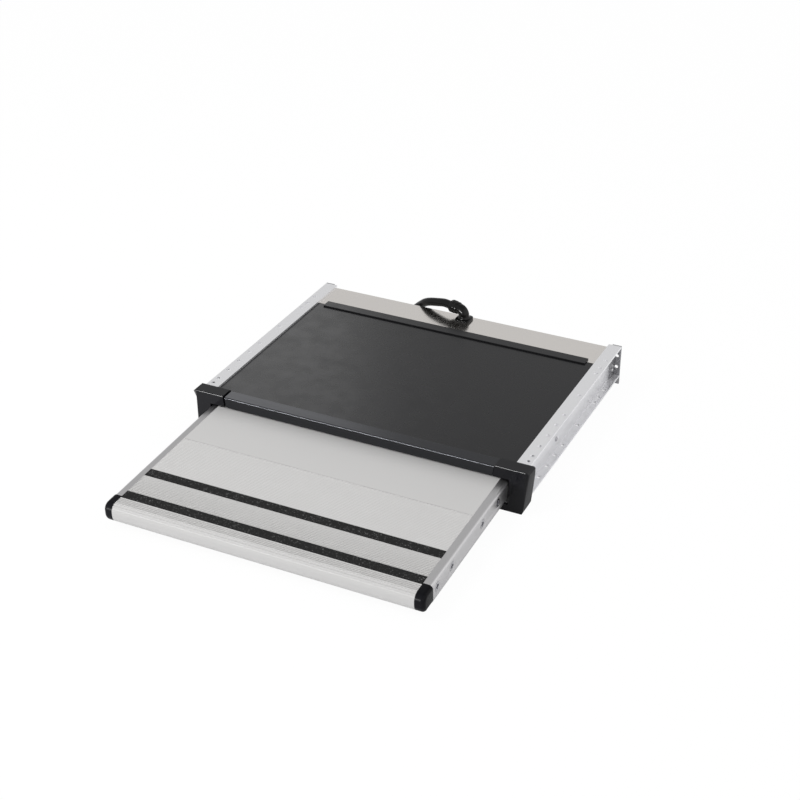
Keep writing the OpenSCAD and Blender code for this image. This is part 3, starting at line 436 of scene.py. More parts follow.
PLUG_PLASTIC = moulded("plug_plastic", (0.020, 0.020, 0.021), 0.36)


def gritty(name, colour, roughness):
    """Anti-slip strip: black with mineral grains, and a few specks painted much lighter into its
    colour as painted glints of the grains.
    """
    finish = Finish(name, colour, roughness, specular=0.15)
    grains = finish.noise(1100, detail=4)
    mix = finish.nodes.new("ShaderNodeMix")
    mix.data_type = "RGBA"
    mix.inputs["A"].default_value = (*colour, 1)
    mix.inputs["B"].default_value = (0.30, 0.30, 0.30, 1)
    # Painted glints: sparse specks of the base colour lifted to light grey, where grains would catch
    # the light.
    painted_glint = finish.vary(finish.noise(620, detail=1), 0.0, 0.5, from_low=0.62, from_high=0.80)
    finish.links.new(painted_glint, mix.inputs["Factor"])
    finish.links.new(mix.outputs["Result"], finish.shader.inputs["Base Color"])
    finish.gloss(grains, 0.3)
    finish.bump(grains, 0.05 * MM, strength=0.6)
    return finish.material


GRIT = gritty("grip_black", (0.010, 0.010, 0.010), 0.60)
print(len(bpy.data.materials), "materials")

# %% Build the conduit
conduit = add_solid("conduit_tube", solid(tube(conduit_path, CONDUIT_D / 2, 32)), "housing",
                    CONDUIT_PLASTIC, ["conduit"])

# %% [markdown]
# ## The planks of the tread
# Each plank is an aluminium extrusion: one outline carried along X. Only its outside shows, so
# the outline leaves out the chambers within. The front plank has fine anti-slip ribs, two sunk
# seats for the strips, and a round nose with two raised beads that catch the light as bright
# lines. The outline is drawn once, in v and w, as one closed loop of points: ribs along the
# top, then the arcs of the nose, then the underside.

# %% Outline of the front plank
plank_lo, plank_hi = slope_box("front_plank")
strip_boxes = [slope_box("rear_grip_strip"), slope_box("front_grip_strip")]
RIB_PITCH, RIB_DEPTH = 2.6 * MM, 0.60 * MM
GROOVE_MOUTH, GROOVE_FLOOR = 1.2 * MM, 0.9 * MM
FIRST_GROOVE = 1.6 * MM
NOSE_R, NOSE_FLAT, NOSE_UNDER = 9.5 * MM, 4.5 * MM, 11.5 * MM
NOSE_BOX, NOSE_FOOT, DECK_T = 24 * MM, 11 * MM, 15 * MM
SEAT_GAP, SEAT_SHOULDER = 0.15 * MM, 1.0 * MM
FLAT_SUPPORT, MOUTH_BREAK = 0.3 * MM, 0.05 * MM

# Depth of the grooves in shares of RIB_DEPTH: up to the rear edge of the front strip, at the
# front edge of the rear strip, and from its rear edge to the joint.
GROOVE_SHARES = [1.7, 0.8, 0.25]

# Beads and dents of the nose: angle in degrees, height and half width in degrees.
BEADS = ((101.0, -0.60 * MM, 3.2), (109.7, 0.35 * MM, 3.4), (119.5, -0.55 * MM, 3.6),
         (130.7, 0.45 * MM, 4.6), (143.0, -0.25 * MM, 4.5))
nose_front = plank_lo[1]
nose_start = nose_front + NOSE_R


def mirrored_dent(half):
    """A dent's outline from its rear half: the half, then its mirror image back to front."""
    return np.concatenate([half, half[::-1] * [-1, 1]])


def deck_top():
    """The deck's top from the joint to the nose: a dent for each groove and for each seat."""
    centres = np.arange(plank_hi[1] - FIRST_GROOVE, nose_start, -RIB_PITCH)
    seats = [(lo[1], hi[1]) for lo, hi in strip_boxes]
    clear = np.ones(len(centres), bool)
    for low, high in seats:
        clear &= (centres < low - SEAT_SHOULDER) | (centres > high + SEAT_SHOULDER)
    centres = centres[clear]
    mouth, floor = GROOVE_MOUTH / 2, GROOVE_FLOOR / 2
    half = np.array([[mouth + FLAT_SUPPORT, 0], [mouth + 2 * MOUTH_BREAK, 0],
                     [mouth, -MOUTH_BREAK], [floor, -RIB_DEPTH]])
    depths = np.interp(centres, [seats[1][1], seats[0][0], seats[0][1]], GROOVE_SHARES)
    dents = [(v, mirrored_dent(half) * [1, depth] + [v, 0]) for v, depth in zip(centres, depths)]
    for low, high in seats:
        wall, middle = (high - low) / 2 + SEAT_GAP, (high + low) / 2
        half = np.array([[wall + FLAT_SUPPORT, 0], [wall, 0], [wall, strip_boxes[0][0][2]]])
        dents.append((high, mirrored_dent(half) + [middle, 0]))
    return np.concatenate([points for _, points in sorted(dents, key=lambda dent: -dent[0])])


def nose_outline(steps=180):
    """The nose: an arc from the deck to the front with beads, which are added along its
    normal as bell curves of the angle, a short flat, and a wider arc to the underside."""
    turn = np.linspace(90, 180, steps + 1)
    radius = NOSE_R + sum(height * np.exp(-((turn - middle) / width) ** 2)
                          for middle, height, width in BEADS)
    turn = np.radians(turn)
    upper = np.stack([nose_start + radius * np.cos(turn), -NOSE_R + radius * np.sin(turn)], -1)
    centre = (nose_front + NOSE_UNDER, -NOSE_R - NOSE_FLAT)
    return np.concatenate([upper, arc(centre, NOSE_UNDER, 180, 232, 14)])


JOINT_GAP, JOINT_BREAK = 0.25 * MM, 0.15 * MM
plank_rear = plank_hi[1] - JOINT_GAP
front_outline = np.concatenate([
    [[plank_rear, -DECK_T], [plank_rear, -JOINT_BREAK], [plank_rear - JOINT_BREAK, 0],
     [plank_rear - 0.4 * MM, 0]],
    deck_top(), nose_outline(),
    [[nose_front + NOSE_FOOT, plank_lo[2]], [nose_front + NOSE_BOX, plank_lo[2]],
     [nose_front + NOSE_BOX, -DECK_T]],
])


def extrusion(outline, stations, place):
    """Rings of an outline carried along an axis: place turns a station and the two outline
    coordinates into x, y, z."""
    stations = np.asarray(stations, float)[:, None]
    return place(stations, outline[None, :, 0], outline[None, :, 1])


front_plank = add_solid(
    "front_plank_ribbed",
    solid(extrusion(front_outline, [plank_lo[0], plank_hi[0]], from_slope)),
    "tread", NOSE_METAL, ["front_plank"], sharp=18)

# %% [markdown]
# The rear plank is plain on top. Its long edges are broken by a small round, so that the joint
# with the front plank shows as one fine line.

# %% Rear plank
rear_lo, rear_hi = slope_box("rear_plank")
EDGE_R = 0.3 * MM
rear_outline = rounded([[rear_lo[1], -DECK_T], [rear_lo[1], 0], [rear_hi[1], 0],
                        [rear_hi[1], -DECK_T]], EDGE_R)
add_solid(
    "rear_plank_smooth",
    solid(extrusion(rear_outline, [rear_lo[0], rear_hi[0]], from_slope)),
    "tread", DECK_METAL, ["rear_plank"])

# %% [markdown]
# ## The bezel
# The bezel is one more extrusion, an upside-down trough above the tread's mouth. Its front top
# edge is a true round, which draws the fine light line along the whole front. Its ends lean
# with the seams to the corner brackets, so each ring's x changes with its height.

# %% Bezel
BEZEL_WALL, BEZEL_ROUND, SEAM_LEAN = 2.4 * MM, 1.4 * MM, 2.0 * MM
BEZEL_BACK, BEZEL_FOOT = 0.4 * MM, 0.3 * MM
bezel_lo, bezel_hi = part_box("bezel")
lip_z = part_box("top_plate")[1].z


def bezel_section():
    """The trough's outline in y and z: front wall, top and rear lip."""
    front, rear, top, foot = bezel_lo.y, bezel_hi.y, bezel_hi.z, bezel_lo.z
    edge = arc((front + BEZEL_ROUND, top - BEZEL_ROUND), BEZEL_ROUND, 180, 90, 10)
    back = arc((rear - BEZEL_BACK, top - BEZEL_BACK), BEZEL_BACK, 90, 0, 4)
    return np.concatenate([
        [[front + BEZEL_FOOT, foot], [front, foot + BEZEL_FOOT],
         [front, top - BEZEL_ROUND - BEZEL_BACK]],
        edge, [[front + BEZEL_ROUND + BEZEL_BACK, top], [rear - 2 * BEZEL_BACK, top]], back,
        [[rear, lip_z], [rear - BEZEL_WALL, lip_z], [rear - BEZEL_WALL, top - BEZEL_WALL],
         [front + BEZEL_WALL, top - BEZEL_WALL], [front + BEZEL_WALL, foot]],
    ])


def bezel_rings():
    """Two end rings, whose x leans inwards with the depth below the top."""
    y, z = bezel_section().T
    lean = SEAM_LEAN * (bezel_hi.z - z) / (bezel_hi.z - bezel_lo.z)
    return np.stack([np.stack([x, y, z], -1) for x in (bezel_lo.x + lean, bezel_hi.x - lean)])


bezel = add_solid("bezel_round", solid(bezel_rings()), "housing", BEZEL_METAL,
                  ["bezel"])

# %% [markdown]
# ## Corner caps
# A cap closes the nose and the front end of a side profile. Its outline is the nose's own,
# and it shrinks inwards as a quarter circle over the last five millimetres of its width, so
# all its outer edges are round, except the rear one, which lies against the profile.

# %% Corner caps
CAP_ROUND = 5.0 * MM


def cap_outline(inset, rear):
    """The cap's outline in v and w, moved inwards by the inset everywhere but at the rear."""
    low = plank_lo[2] + inset
    upper = arc((nose_start, -NOSE_R), NOSE_R - inset, 90, 180, 16)
    under = arc((nose_front + NOSE_UNDER, -NOSE_R - NOSE_FLAT), NOSE_UNDER - inset, 180, 232, 10)
    foot = np.array([[nose_front + NOSE_FOOT + inset, low], [rear, low]])
    return np.concatenate([[[rear, -inset]], upper, under, foot])


def corner_cap(node, name):
    """Rings of the cap's outline from its inner to its outer face."""
    lo, hi = slope_box(node)
    inner, outer = (lo[0], hi[0]) if lo[0] > 0 else (hi[0], lo[0])
    sign = math.copysign(1, outer - inner)
    turn = np.radians(np.linspace(0, 88, 14))
    depth = np.concatenate([[0], outer - inner - sign * CAP_ROUND * (1 - np.sin(turn))])
    inset = np.concatenate([[0], CAP_ROUND * (1 - np.cos(turn))])
    rings = np.stack([from_slope(inner + d, *cap_outline(i, hi[1]).T)
                      for d, i in zip(depth, inset)])
    return add_solid(name, solid(rings), "tread", CAP_PLASTIC, [node])


left_cap = corner_cap("left_cap", "left_cap_round")
right_cap = corner_cap("right_cap", "right_cap_round")

# %% [markdown]
# ## Anti-slip strips
# The strips are covered with mineral grit. A grid of half a millimetre over the top takes a
# random height at each point, softened once with its neighbours, so that the grains stand out
# as real bumps and not only as paint. The seed is fixed, so every run gives the same strip.

# %% Anti-slip strips
GRIT_STEP, GRIT_HEIGHT = 0.5 * MM, 0.22 * MM


def grit_strip(node, name, seed):
    """A flat strip whose top rows carry the grit. Each ring is a cross-section in v and w:
    the underside's two corners, then the points of the top."""
    lo, hi = slope_box(node)
    x = np.arange(lo[0], hi[0] + GRIT_STEP / 2, GRIT_STEP)
    v = np.linspace(lo[1], hi[1], int((hi[1] - lo[1]) / GRIT_STEP) + 1)
    height = np.random.default_rng(seed).random((len(x), len(v))) ** 2
    height = 0.6 * height + 0.1 * (np.roll(height, 1, 0) + np.roll(height, -1, 0)
                                   + np.roll(height, 1, 1) + np.roll(height, -1, 1))
    height[:, [0, -1]] = 0
    top = hi[2] - GRIT_HEIGHT + GRIT_HEIGHT * height
    v_rows = np.concatenate([[v[-1], v[0]], v])
    w_rows = np.concatenate([np.full((len(x), 2), lo[2]), top], axis=1)
    rings = from_slope(x[:, None], v_rows[None, :], w_rows)
    return add_solid(name, solid(rings), "tread", GRIT, [node])


grit_strip("front_grip_strip", "front_grit_strip", 11)
grit_strip("rear_grip_strip", "rear_grit_strip", 12)

# %% [markdown]
# ## Screws and rivets
# A screw head is a low dome over a short wall, and a countersunk one narrows to a cone below.
# Its rings shrink from the rim to the middle, and a cross recess is cut by lowering the points
# that lie in either arm of the cross. The heads go where the CAD model has them, found as the
# separate solids of one node. The tread's screws are countersunk, so only a low dome of each
# stands out of the side profile.

# %% Find the separate solids of a node


def separate_solids(node):
    """Lowest and highest corner of each separate solid in a CAD node."""
    work = bmesh.new()
    work.from_mesh(frame["nodes"][node].data)
    bmesh.ops.remove_doubles(work, verts=work.verts, dist=0.001 * MM)
    left, boxes = set(work.verts), []
    while left:
        group, edge = [], [left.pop()]
        while edge:
            vertex = edge.pop()
            group.append(vertex.co.to_tuple())
            near = {e.other_vert(vertex) for e in vertex.link_edges} & left
            left -= near
            edge += near
        group = np.array(group)
        boxes.append((group.min(axis=0), group.max(axis=0)))
    work.free()
    return sorted(boxes, key=lambda box: tuple(box[0]))


# %% Shape of a head


def head_rings(radius, height, wall, cross, below=((1, 0),), around=64, rows=26):
    """Rings of a head in its own axes, height along the third one: the dome
    wall + (height - wall) * (1 - r ** 2.4) for r from 0 to 1, less the cross recess, with soft
    flanks. The cross is its arms' length and width and its depth. The rings below the dome are
    given as shares of the radius and heights."""
    share = np.linspace(0.02, 1, rows)[:, None]
    turn = np.linspace(0, 2 * np.pi, around, endpoint=False)[None, :]
    a, b = radius * share * np.cos(turn), radius * share * np.sin(turn)
    dome = wall + (height - wall) * (1 - share ** 2.4) + 0 * turn
    length, width, depth = cross
    soft = 0.15 * MM

    def inside(value, size):
        return np.clip((size / 2 - np.abs(value)) / soft + 0.5, 0, 1)

    arms = np.maximum(inside(a, length) * inside(b, width), inside(b, length) * inside(a, width))
    rings = [np.stack([a, b, dome - depth * arms], axis=-1)]
    for size, level in below:
        rings.append(np.stack([size * a[-1], size * b[-1], level + 0 * a[-1]], axis=-1)[None])
    return np.concatenate(rings)


def set_on(rings, centre, out, up=(0, 0, 1)):
    """Place rings at a centre, with their third axis pointing out."""
    out, up = np.asarray(out, float), np.asarray(up, float)
    side = np.cross(up, out)
    return centre + rings @ np.stack([side, up, out])


# %% Screws of the tread
SCREW_R, SCREW_PROUD, SCREW_RIM = 5.5 * MM, 0.25 * MM, 0.35 * MM
SCREW_CONE, SCREW_SHANK = 2.3 * MM, 0.44
CROSS = (6.4 * MM, 2.3 * MM, 2.1 * MM)
screw_head = head_rings(SCREW_R, SCREW_PROUD, 0.05 * MM, CROSS,
                        below=((1, -SCREW_RIM), (SCREW_SHANK, -SCREW_CONE)))
side_face = slope_box("right_side_profile")[1][0]


def tread_screw_shells():
    """One head for each screw of the node, on the outer face of its side profile."""
    shells = []
    for lo, hi in separate_solids("tread_screws"):
        sign = math.copysign(1, lo[0] + hi[0])
        _, v, w = to_slope((lo + hi) / 2)
        place = from_slope(sign * side_face, v, w)
        shells.append(solid(set_on(screw_head, place, (sign, 0, 0))))
    return shells


add_solid("tread_button_screws", joined(tread_screw_shells()), "tread",
          SCREW_METAL, ["tread_screws"])

# %% Rivets and the guides' screws
RIVET_R, RIVET_H, RIVET_RIM = 3.0 * MM, 0.9 * MM, 0.25 * MM
rivet_head = head_rings(RIVET_R, RIVET_H, RIVET_RIM, (1.6 * MM, 1.6 * MM, 0.5 * MM), rows=12)
GUIDE_R, GUIDE_H, GUIDE_RIM = 3.2 * MM, 1.4 * MM, 0.6 * MM
guide_head = head_rings(GUIDE_R, GUIDE_H, GUIDE_RIM, (3.6 * MM, 1.0 * MM, 0.7 * MM), rows=16)


def heads_along_x(node, rings, height):
    """Heads of a node whose screws or rivets point outwards along X."""
    shells = []
    for lo, hi in separate_solids(node):
        sign = math.copysign(1, lo[0] + hi[0])
        reach = max(abs(lo[0]), abs(hi[0])) - height
        place = np.array([sign * reach, (lo[1] + hi[1]) / 2, (lo[2] + hi[2]) / 2])
        shells.append(solid(set_on(rings, place, (sign, 0, 0))))
    return joined(shells)


add_solid("rear_rivet_heads", heads_along_x("rear_rivets", rivet_head, RIVET_H), "housing",
          RIVET_METAL, ["rear_rivets"])
add_solid("guide_screw_heads", heads_along_x("guide_screws", guide_head, GUIDE_H), "housing",
          SCREW_METAL, ["guide_screws"])


def base_rivet_shells():
    """Heads under the base plate, pointing down."""
    shells = []
    for lo, hi in separate_solids("base_rivets"):
        place = np.array([(lo[0] + hi[0]) / 2, (lo[1] + hi[1]) / 2, lo[2] + RIVET_H])
        shells.append(solid(set_on(rivet_head, place, (0, 0, -1), up=(0, 1, 0))))
    return shells


add_solid("base_rivet_heads", joined(base_rivet_shells()), "housing",
          RIVET_METAL, ["base_rivets"])

# %% [markdown]
# ## The elbow and its nut
# The conduit enters the motor cover through a moulded elbow on a square foot, and a collar nut
# clamps it. The elbow is a tube whose path goes up, turns a quarter circle and ends level. The
# nut is a lathe shape: circles whose radius changes along the axis, with steps and a bevel.

# %% Elbow
ELBOW_BEND, ELBOW_R, ELBOW_FOOT = 8.0 * MM, 7.2 * MM, 21.0 * MM
NUT_LEN = 14.5 * MM
FOOT_T, FOOT_ROUND, FOOT_EDGE = 2.5 * MM, 5.25 * MM, 0.8 * MM
FOOT_FLARE, FLARE_TOP, FLARE_SOFT = 1.5 * MM, 4.6 * MM, 0.35 * MM
UPRIGHT_ROWS, BEND_ROWS = 10, 15
first_step = ROUTE[1] - ROUTE[0]
level = unit(np.array([-first_step[0], -first_step[1], 0]))
elbow_place = ROUTE[0] + (ELBOW_BEND + NUT_LEN) * level
gasket_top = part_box("elbow_gasket")[1].z
bend_z = ROUTE[0][2] - ELBOW_BEND


def elbow_path():
    """Up from the foot, then a quarter turn towards the nut."""
    rise = np.linspace(gasket_top + 0.1 * MM, bend_z, UPRIGHT_ROWS)[:, None]
    upright = elbow_place * [1, 1, 0] + rise * [0, 0, 1]
    turn = np.radians(np.linspace(0, 90, BEND_ROWS)[1:])[:, None]
    bend = (elbow_place * [1, 1, 0] - level * ELBOW_BEND * (1 - np.cos(turn))
            + [0, 0, bend_z] + ELBOW_BEND * np.sin(turn) * [0, 0, 1])
    stub = bend[-1] - level * np.array([[0.5], [1.5]]) * MM
    return np.concatenate([upright, bend, stub])


def collar(path):
    """The elbow's radius: wider at the foot, where a collar strengthens it. The flare falls
    as an S curve of the height, flare / (1 + exp((height - top) / softness))."""
    height = path[:, 2] - gasket_top
    flare = FOOT_FLARE / (1 + np.exp((height - FLARE_TOP) / FLARE_SOFT))
    return ELBOW_R + np.where(np.arange(len(path)) < UPRIGHT_ROWS, flare, 0)


def rounded_square(side, corner, steps=6):
    """Outline of a square with round corners."""
    half = side / 2
    return rounded([[-half, -half], [half, -half], [half, half], [-half, half]], corner, steps, 0)


def foot_rings():
    """The foot: a round-cornered square with a rounded top edge."""
    turn = np.radians(np.linspace(0, 90, 5))
    inset = np.concatenate([[0], FOOT_EDGE * (1 - np.cos(turn))])
    height = np.concatenate([[0], FOOT_T - FOOT_EDGE * (1 - np.sin(turn))])
    flat = np.stack([rounded_square(ELBOW_FOOT - 2 * i, FOOT_ROUND) for i in inset])
    up = np.broadcast_to(height[:, None, None], flat.shape[:2] + (1,))
    return np.concatenate([flat, up], axis=-1) + [elbow_place[0], elbow_place[1], gasket_top]


elbow_line = elbow_path()
side_of_bend = np.cross(level, [0, 0, 1])
elbow = add_solid(
    "conduit_elbow_bend",
    joined([solid(tube(elbow_line, collar(elbow_line), 36, side_of_bend)), solid(foot_rings())]),
    "housing", CONDUIT_PLASTIC, ["conduit_elbow"])

# %% Collar nut
NUT_SHAPE = MM * np.array([
    [0.0, 5.8], [0.0, 7.2], [0.4, 7.7], [1.3, 7.8], [1.6, 8.5], [2.1, 8.75], [4.2, 8.75],
    [4.5, 8.35], [5.3, 8.35], [5.6, 8.75], [7.7, 8.75], [8.2, 8.6], [8.7, 8.0], [9.3, 7.95],
    [9.6, 8.3], [12.6, 8.3], [13.3, 8.0], [14.0, 7.6], [14.5, 7.2], [14.5, 5.8],
])


def lathe(shape, start, direction, around=48):
    """Rings round an axis: the first column of the shape runs along it, the second is the
    radius there."""
    direction = unit(np.asarray(direction, float))
    across = unit(np.cross(direction, [0, 0, 1]))
    up = np.cross(across, direction)
    turn = np.linspace(0, 2 * np.pi, around, endpoint=False)[None, :, None]
    circle = across * np.cos(turn) + up * np.sin(turn)
    return start + direction * shape[:, :1, None] + circle * shape[:, 1:, None]


nut = add_solid("elbow_collar_nut", solid(lathe(NUT_SHAPE, ROUTE[0], level)), "housing",
                CONDUIT_PLASTIC, ["elbow_nut"])

# %% [markdown]
# ## Pieces that keep their CAD shape
# The other pieces already have the right shape, but a real edge is never perfectly sharp: it
# always catches a little light. Each one is copied, its triangles are merged back into whole
# faces, and a small bevel rounds its edges. The copy then stands for its CAD node.

# %% Copy a CAD node as a clean mesh with rounded edges
FLAT_ANGLE, EDGE_SEGMENTS = 0.6, 2


def clean_copy(node, body, material, edge, carve=None, sharp=SHARP_ANGLE):
    """A merged copy of a node with its flat faces whole and its edges rounded by a bevel. A
    carve function may change its shape first."""
    name = node + "_fine"
    work = bmesh.new()
    work.from_mesh(frame["nodes"][node].data)
    bmesh.ops.remove_doubles(work, verts=work.verts, dist=0.002 * MM)
    bmesh.ops.dissolve_limit(work, angle_limit=math.radians(FLAT_ANGLE), verts=work.verts,
                             edges=work.edges)
    if carve:
        carve(work)
        gaps = sum(side.is_boundary for side in work.edges)
        print(node, "has", gaps, "open edges after its cuts")
    mesh = bpy.data.meshes.new(name)
    work.to_mesh(mesh)
    work.free()
    mesh.polygons.foreach_set("use_smooth", np.ones(len(mesh.polygons), bool))
    mesh.set_sharp_from_angle(angle=math.radians(sharp))
    piece = add_piece(name, mesh, body, material, [node])
    if edge:
        bevel = piece.modifiers.new("round_edges", "BEVEL")
        bevel.width = edge
        bevel.segments = EDGE_SEGMENTS
        bevel.limit_method = "ANGLE"
        bevel.angle_limit = math.radians(sharp)
        bevel.use_clamp_overlap = True
        bevel.harden_normals = True
    return piece


# %% [markdown]
# ### The corner brackets' outer faces
# A bracket's outer side isn't a plain box. It flares to the rear, draws in towards the foot,
# and a long narrow facet breaks its lower front corner. Each of these faces is one plane
# through three points, and a cut along it takes away what lies outside. The points are given
# for the right bracket, as distance from the middle, depth behind the bezel's front and
# height, in millimetres.

# %% Cuts of the brackets
FACES = MM * np.array([
    [[222.4, 0, 54], [225.2, 20, 54], [224.6, 20, 37]],
    [[224.6, 20, 37], [222.7, 20, 17], [221.0, 0, 37]],
    [[222.7, 20, 17], [220.9, 20, 4.4], [219.2, 0, 20]],
    [[219.5, 0, 57.9], [223.7, 20, 57.9], [222.4, 0, 54]],
    [[221.5, 0, 40], [216.5, 0, 5], [221.0, 5.5, 5]],
])
BRACKET_ROUND, CORNER_POWER = 7.0 * MM, 6

# Where the hollow's outer wall lies: distance from the middle of the round, depth and height.
HOLLOW_OUT, HOLLOW_DEPTH, HOLLOW_Z = (-2.5 * MM, 1.1 * MM), 4.4 * MM, (3 * MM, 53 * MM)
HOLLOW_SHIFT = 1.8 * MM


def carve_bracket(work):
    """Sharpen the round front corner, whose depth follows its distance as a power curve, keep
    the hollow clear of the cuts, and cut along the planes of the outer faces."""
    reach = max(abs(vertex.co.x) for vertex in work.verts)
    sign = math.copysign(1, next(iter(work.verts)).co.x)
    centre = reach - BRACKET_ROUND
    for vertex in work.verts:
        out, deep = abs(vertex.co.x) - centre, vertex.co.y - MOUTH_Y
        on_round = abs(math.hypot(out, deep - BRACKET_ROUND) - BRACKET_ROUND) < 0.05 * MM
        if out > 0 and deep < BRACKET_ROUND and on_round:
            share = min(1, out / BRACKET_ROUND)
            rise = (1 - share ** CORNER_POWER) ** (1 / CORNER_POWER)
            vertex.co.y = MOUTH_Y + BRACKET_ROUND * (1 - rise)
        elif (HOLLOW_OUT[0] < out < HOLLOW_OUT[1] and deep > HOLLOW_DEPTH
              and HOLLOW_Z[0] < vertex.co.z < HOLLOW_Z[1]):
            vertex.co.x -= sign * HOLLOW_SHIFT
    for corners in FACES:
        a, b, c = (Vector((sign * p[0], p[1] + MOUTH_Y, p[2])) for p in corners)
        normal = (b - a).cross(c - a)
        normal *= math.copysign(1, normal.x * sign)
        everything = work.verts[:] + work.edges[:] + work.faces[:]
        bmesh.ops.bisect_plane(work, geom=everything, plane_co=a, plane_no=normal,
                               clear_outer=True, dist=0.001 * MM)
        bmesh.ops.remove_doubles(work, verts=work.verts, dist=0.003 * MM)
        bmesh.ops.holes_fill(work, edges=[edge for edge in work.edges if edge.is_boundary])
    bmesh.ops.recalc_face_normals(work, faces=work.faces)


print(len(FACES), "cuts for each bracket")

copies = {}
for node in ("left_bracket", "right_bracket"):
    copies[node] = clean_copy(node, "housing", BRACKET_PLASTIC, 0.45 * MM,
                              carve=carve_bracket, sharp=20)

# %% [markdown]
# ### All the other copies
# The pieces are listed by finish, each with how wide its edges are rounded, in millimetres.
# Stamped sheet keeps tight edges and moulded or cast pieces have softer ones. A width of 0
# leaves a piece as it is, where teeth mesh or a cable is round already.

# %% Pieces of the housing
HOUSING_COPIES = [
    ("rail_aluminium", RAIL_METAL, {"left_rail": 0.35, "right_rail": 0.35}),
    ("plate_black", PLATE_PAINT, {"top_plate": 0.4}),
    ("trim_black", TRIM_PAINT, {"rear_trim_strip": 0.5}),
    ("cover_steel", COVER_METAL, {"motor_cover": 0.4}),
    ("zinc_steel", ZINC_METAL, {"base_plate": 0.2, "left_rear_bracket": 0.3,
                                "right_rear_bracket": 0.3, "motor_cradle": 0.3}),
    ("rubber", RUBBER, {"wiper_seal": 0.0, "end_buffers": 0.4, "elbow_gasket": 0.2}),
    ("guide_plastic", GUIDE_PLASTIC, {"left_guide": 0.2, "right_guide": 0.2}),
    ("glide_plastic", GLIDE_PLASTIC, {"front_lower_glides": 0.3, "front_upper_glides": 0.3}),
    ("cast_alloy", CAST_METAL, {"bearing_blocks": 0.4, "output_bearing": 0.4}),
    ("bush_bronze", BRONZE_METAL, {"shaft_bushes": 0.0}),
    ("belt_rubber", BELT_RUBBER, {"drive_belt": 0.0}),
    ("motor_steel", MOTOR_METAL, {"motor": 0.6}),
    ("gearbox_alloy", GEARBOX_METAL, {"gearbox": 0.6}),
    ("box_plastic", BOX_PLASTIC, {"control_box": 0.8, "control_box_lid": 0.5,
                                  "position_sensors": 0.4}),
    ("lead_sheath", LEAD_SHEATH, {"motor_lead": 0.0, "supply_wires": 0.0}),
    ("plug_plastic", PLUG_PLASTIC, {"plug": 0.6}),
]


def make_copies(body, groups):
    """Copy every node of the groups, to ride on the body."""
    for slot, material, edges in groups:
        for node, edge in edges.items():
            copies[node] = clean_copy(node, body, material, edge * MM)
    print(len(copies), "pieces keep their CAD shape so far")


make_copies("housing", HOUSING_COPIES)

# %% Pieces that move
TREAD_COPIES = [
    ("side_aluminium", SIDE_METAL, {"left_side_profile": 0.35, "right_side_profile": 0.35}),
    ("deck_aluminium", DECK_METAL, {"tread_tie_bar": 0.3}),
    ("glide_plastic", GLIDE_PLASTIC, {"rear_glides": 0.3}),
    ("rack_steel", RACK_METAL, {"left_rack": 0.0, "right_rack": 0.0}),
    ("magnet_dark", MAGNET_METAL, {"sensor_magnet": 0.3}),
]
CROSS_SHAFT_COPIES = [
    ("shaft_steel", SHAFT_METAL, {"cross_shaft": 0.4}),
    ("pulley_alloy", PULLEY_METAL, {"left_pinion": 0.0, "right_pinion": 0.0, "shaft_pulley": 0.2}),
]
MOTOR_OUTPUT_COPIES = [
    ("shaft_steel", SHAFT_METAL, {"output_shaft": 0.4}),
    ("pulley_alloy", PULLEY_METAL, {"motor_pulley": 0.2}),
]
make_copies("tread", TREAD_COPIES)
make_copies("cross_shaft_set", CROSS_SHAFT_COPIES)
make_copies("motor_output", MOTOR_OUTPUT_COPIES)

# %% [markdown]
# ## Where the conduit starts
# On the real step the conduit is the one piece that bends: a stiff plastic conduit with two
# wires in it. It leaves the elbow's nut at the first point of its route, and this cell prints
# that point.

# %% Where the conduit leaves the nut
print("the conduit leaves the nut at", ROUTE[0].round(4).tolist())

# %% [markdown]
# ## Floor and light
# The photograph shows the step on pure white with soft light from all round. The floor is a
# wide pale sheet. The camera sees it bright, as a lit studio table. Mirroring faces see a part
# of that glow, and everything else sees a plain white floor that the object shades. A Light
# Path node tells the three apart.

# %% Floor
FLOOR_HALF = 12.0
GLOW_TO_CAMERA, GLOW_IN_MIRRORS = 0.96, 0.25


def floor_material():
    """White floor: the camera sees mostly its own even glow, mirror-like faces see a share of
    it, and all other light meets only its diffuse white."""
    material = bpy.data.materials.new("floor_white")
    material.use_nodes = True
    nodes, links = material.node_tree.nodes, material.node_tree.links
    nodes.clear()
    glow = nodes.new("ShaderNodeEmission")
    glow.inputs["Strength"].default_value = 1.0
    plain = nodes.new("ShaderNodeBsdfDiffuse")
    plain.inputs["Color"].default_value = (0.92, 0.92, 0.93, 1)
    rays = nodes.new("ShaderNodeLightPath")
    mirror_share = nodes.new("ShaderNodeMath")
    mirror_share.operation = "MULTIPLY"
    mirror_share.inputs[1].default_value = GLOW_IN_MIRRORS
    share = nodes.new("ShaderNodeMath")
    share.operation = "MULTIPLY_ADD"
    share.inputs[1].default_value = GLOW_TO_CAMERA
    mix = nodes.new("ShaderNodeMixShader")
    output = nodes.new("ShaderNodeOutputMaterial")
    links.new(rays.outputs["Is Glossy Ray"], mirror_share.inputs[0])
    links.new(rays.outputs["Is Camera Ray"], share.inputs[0])
    links.new(mirror_share.outputs[0], share.inputs[2])
    links.new(share.outputs[0], mix.inputs[0])
    links.new(plain.outputs[0], mix.inputs[1])
    links.new(glow.outputs[0], mix.inputs[2])
    links.new(mix.outputs[0], output.inputs["Surface"])
    return material


corner = FLOOR_HALF * np.array([[-1, -1, 0], [1, -1, 0], [1, 1, 0], [-1, 1, 0]], float)
floor_mesh = bpy.data.meshes.new("floor")
floor_mesh.from_pydata(corner.tolist(), [], [[0, 1, 2, 3]])
floor_mesh.materials.append(floor_material())
floor = bpy.data.objects.new("floor", floor_mesh)
bpy.context.scene.collection.objects.link(floor)
print("floor of", 2 * FLOOR_HALF, "metres")

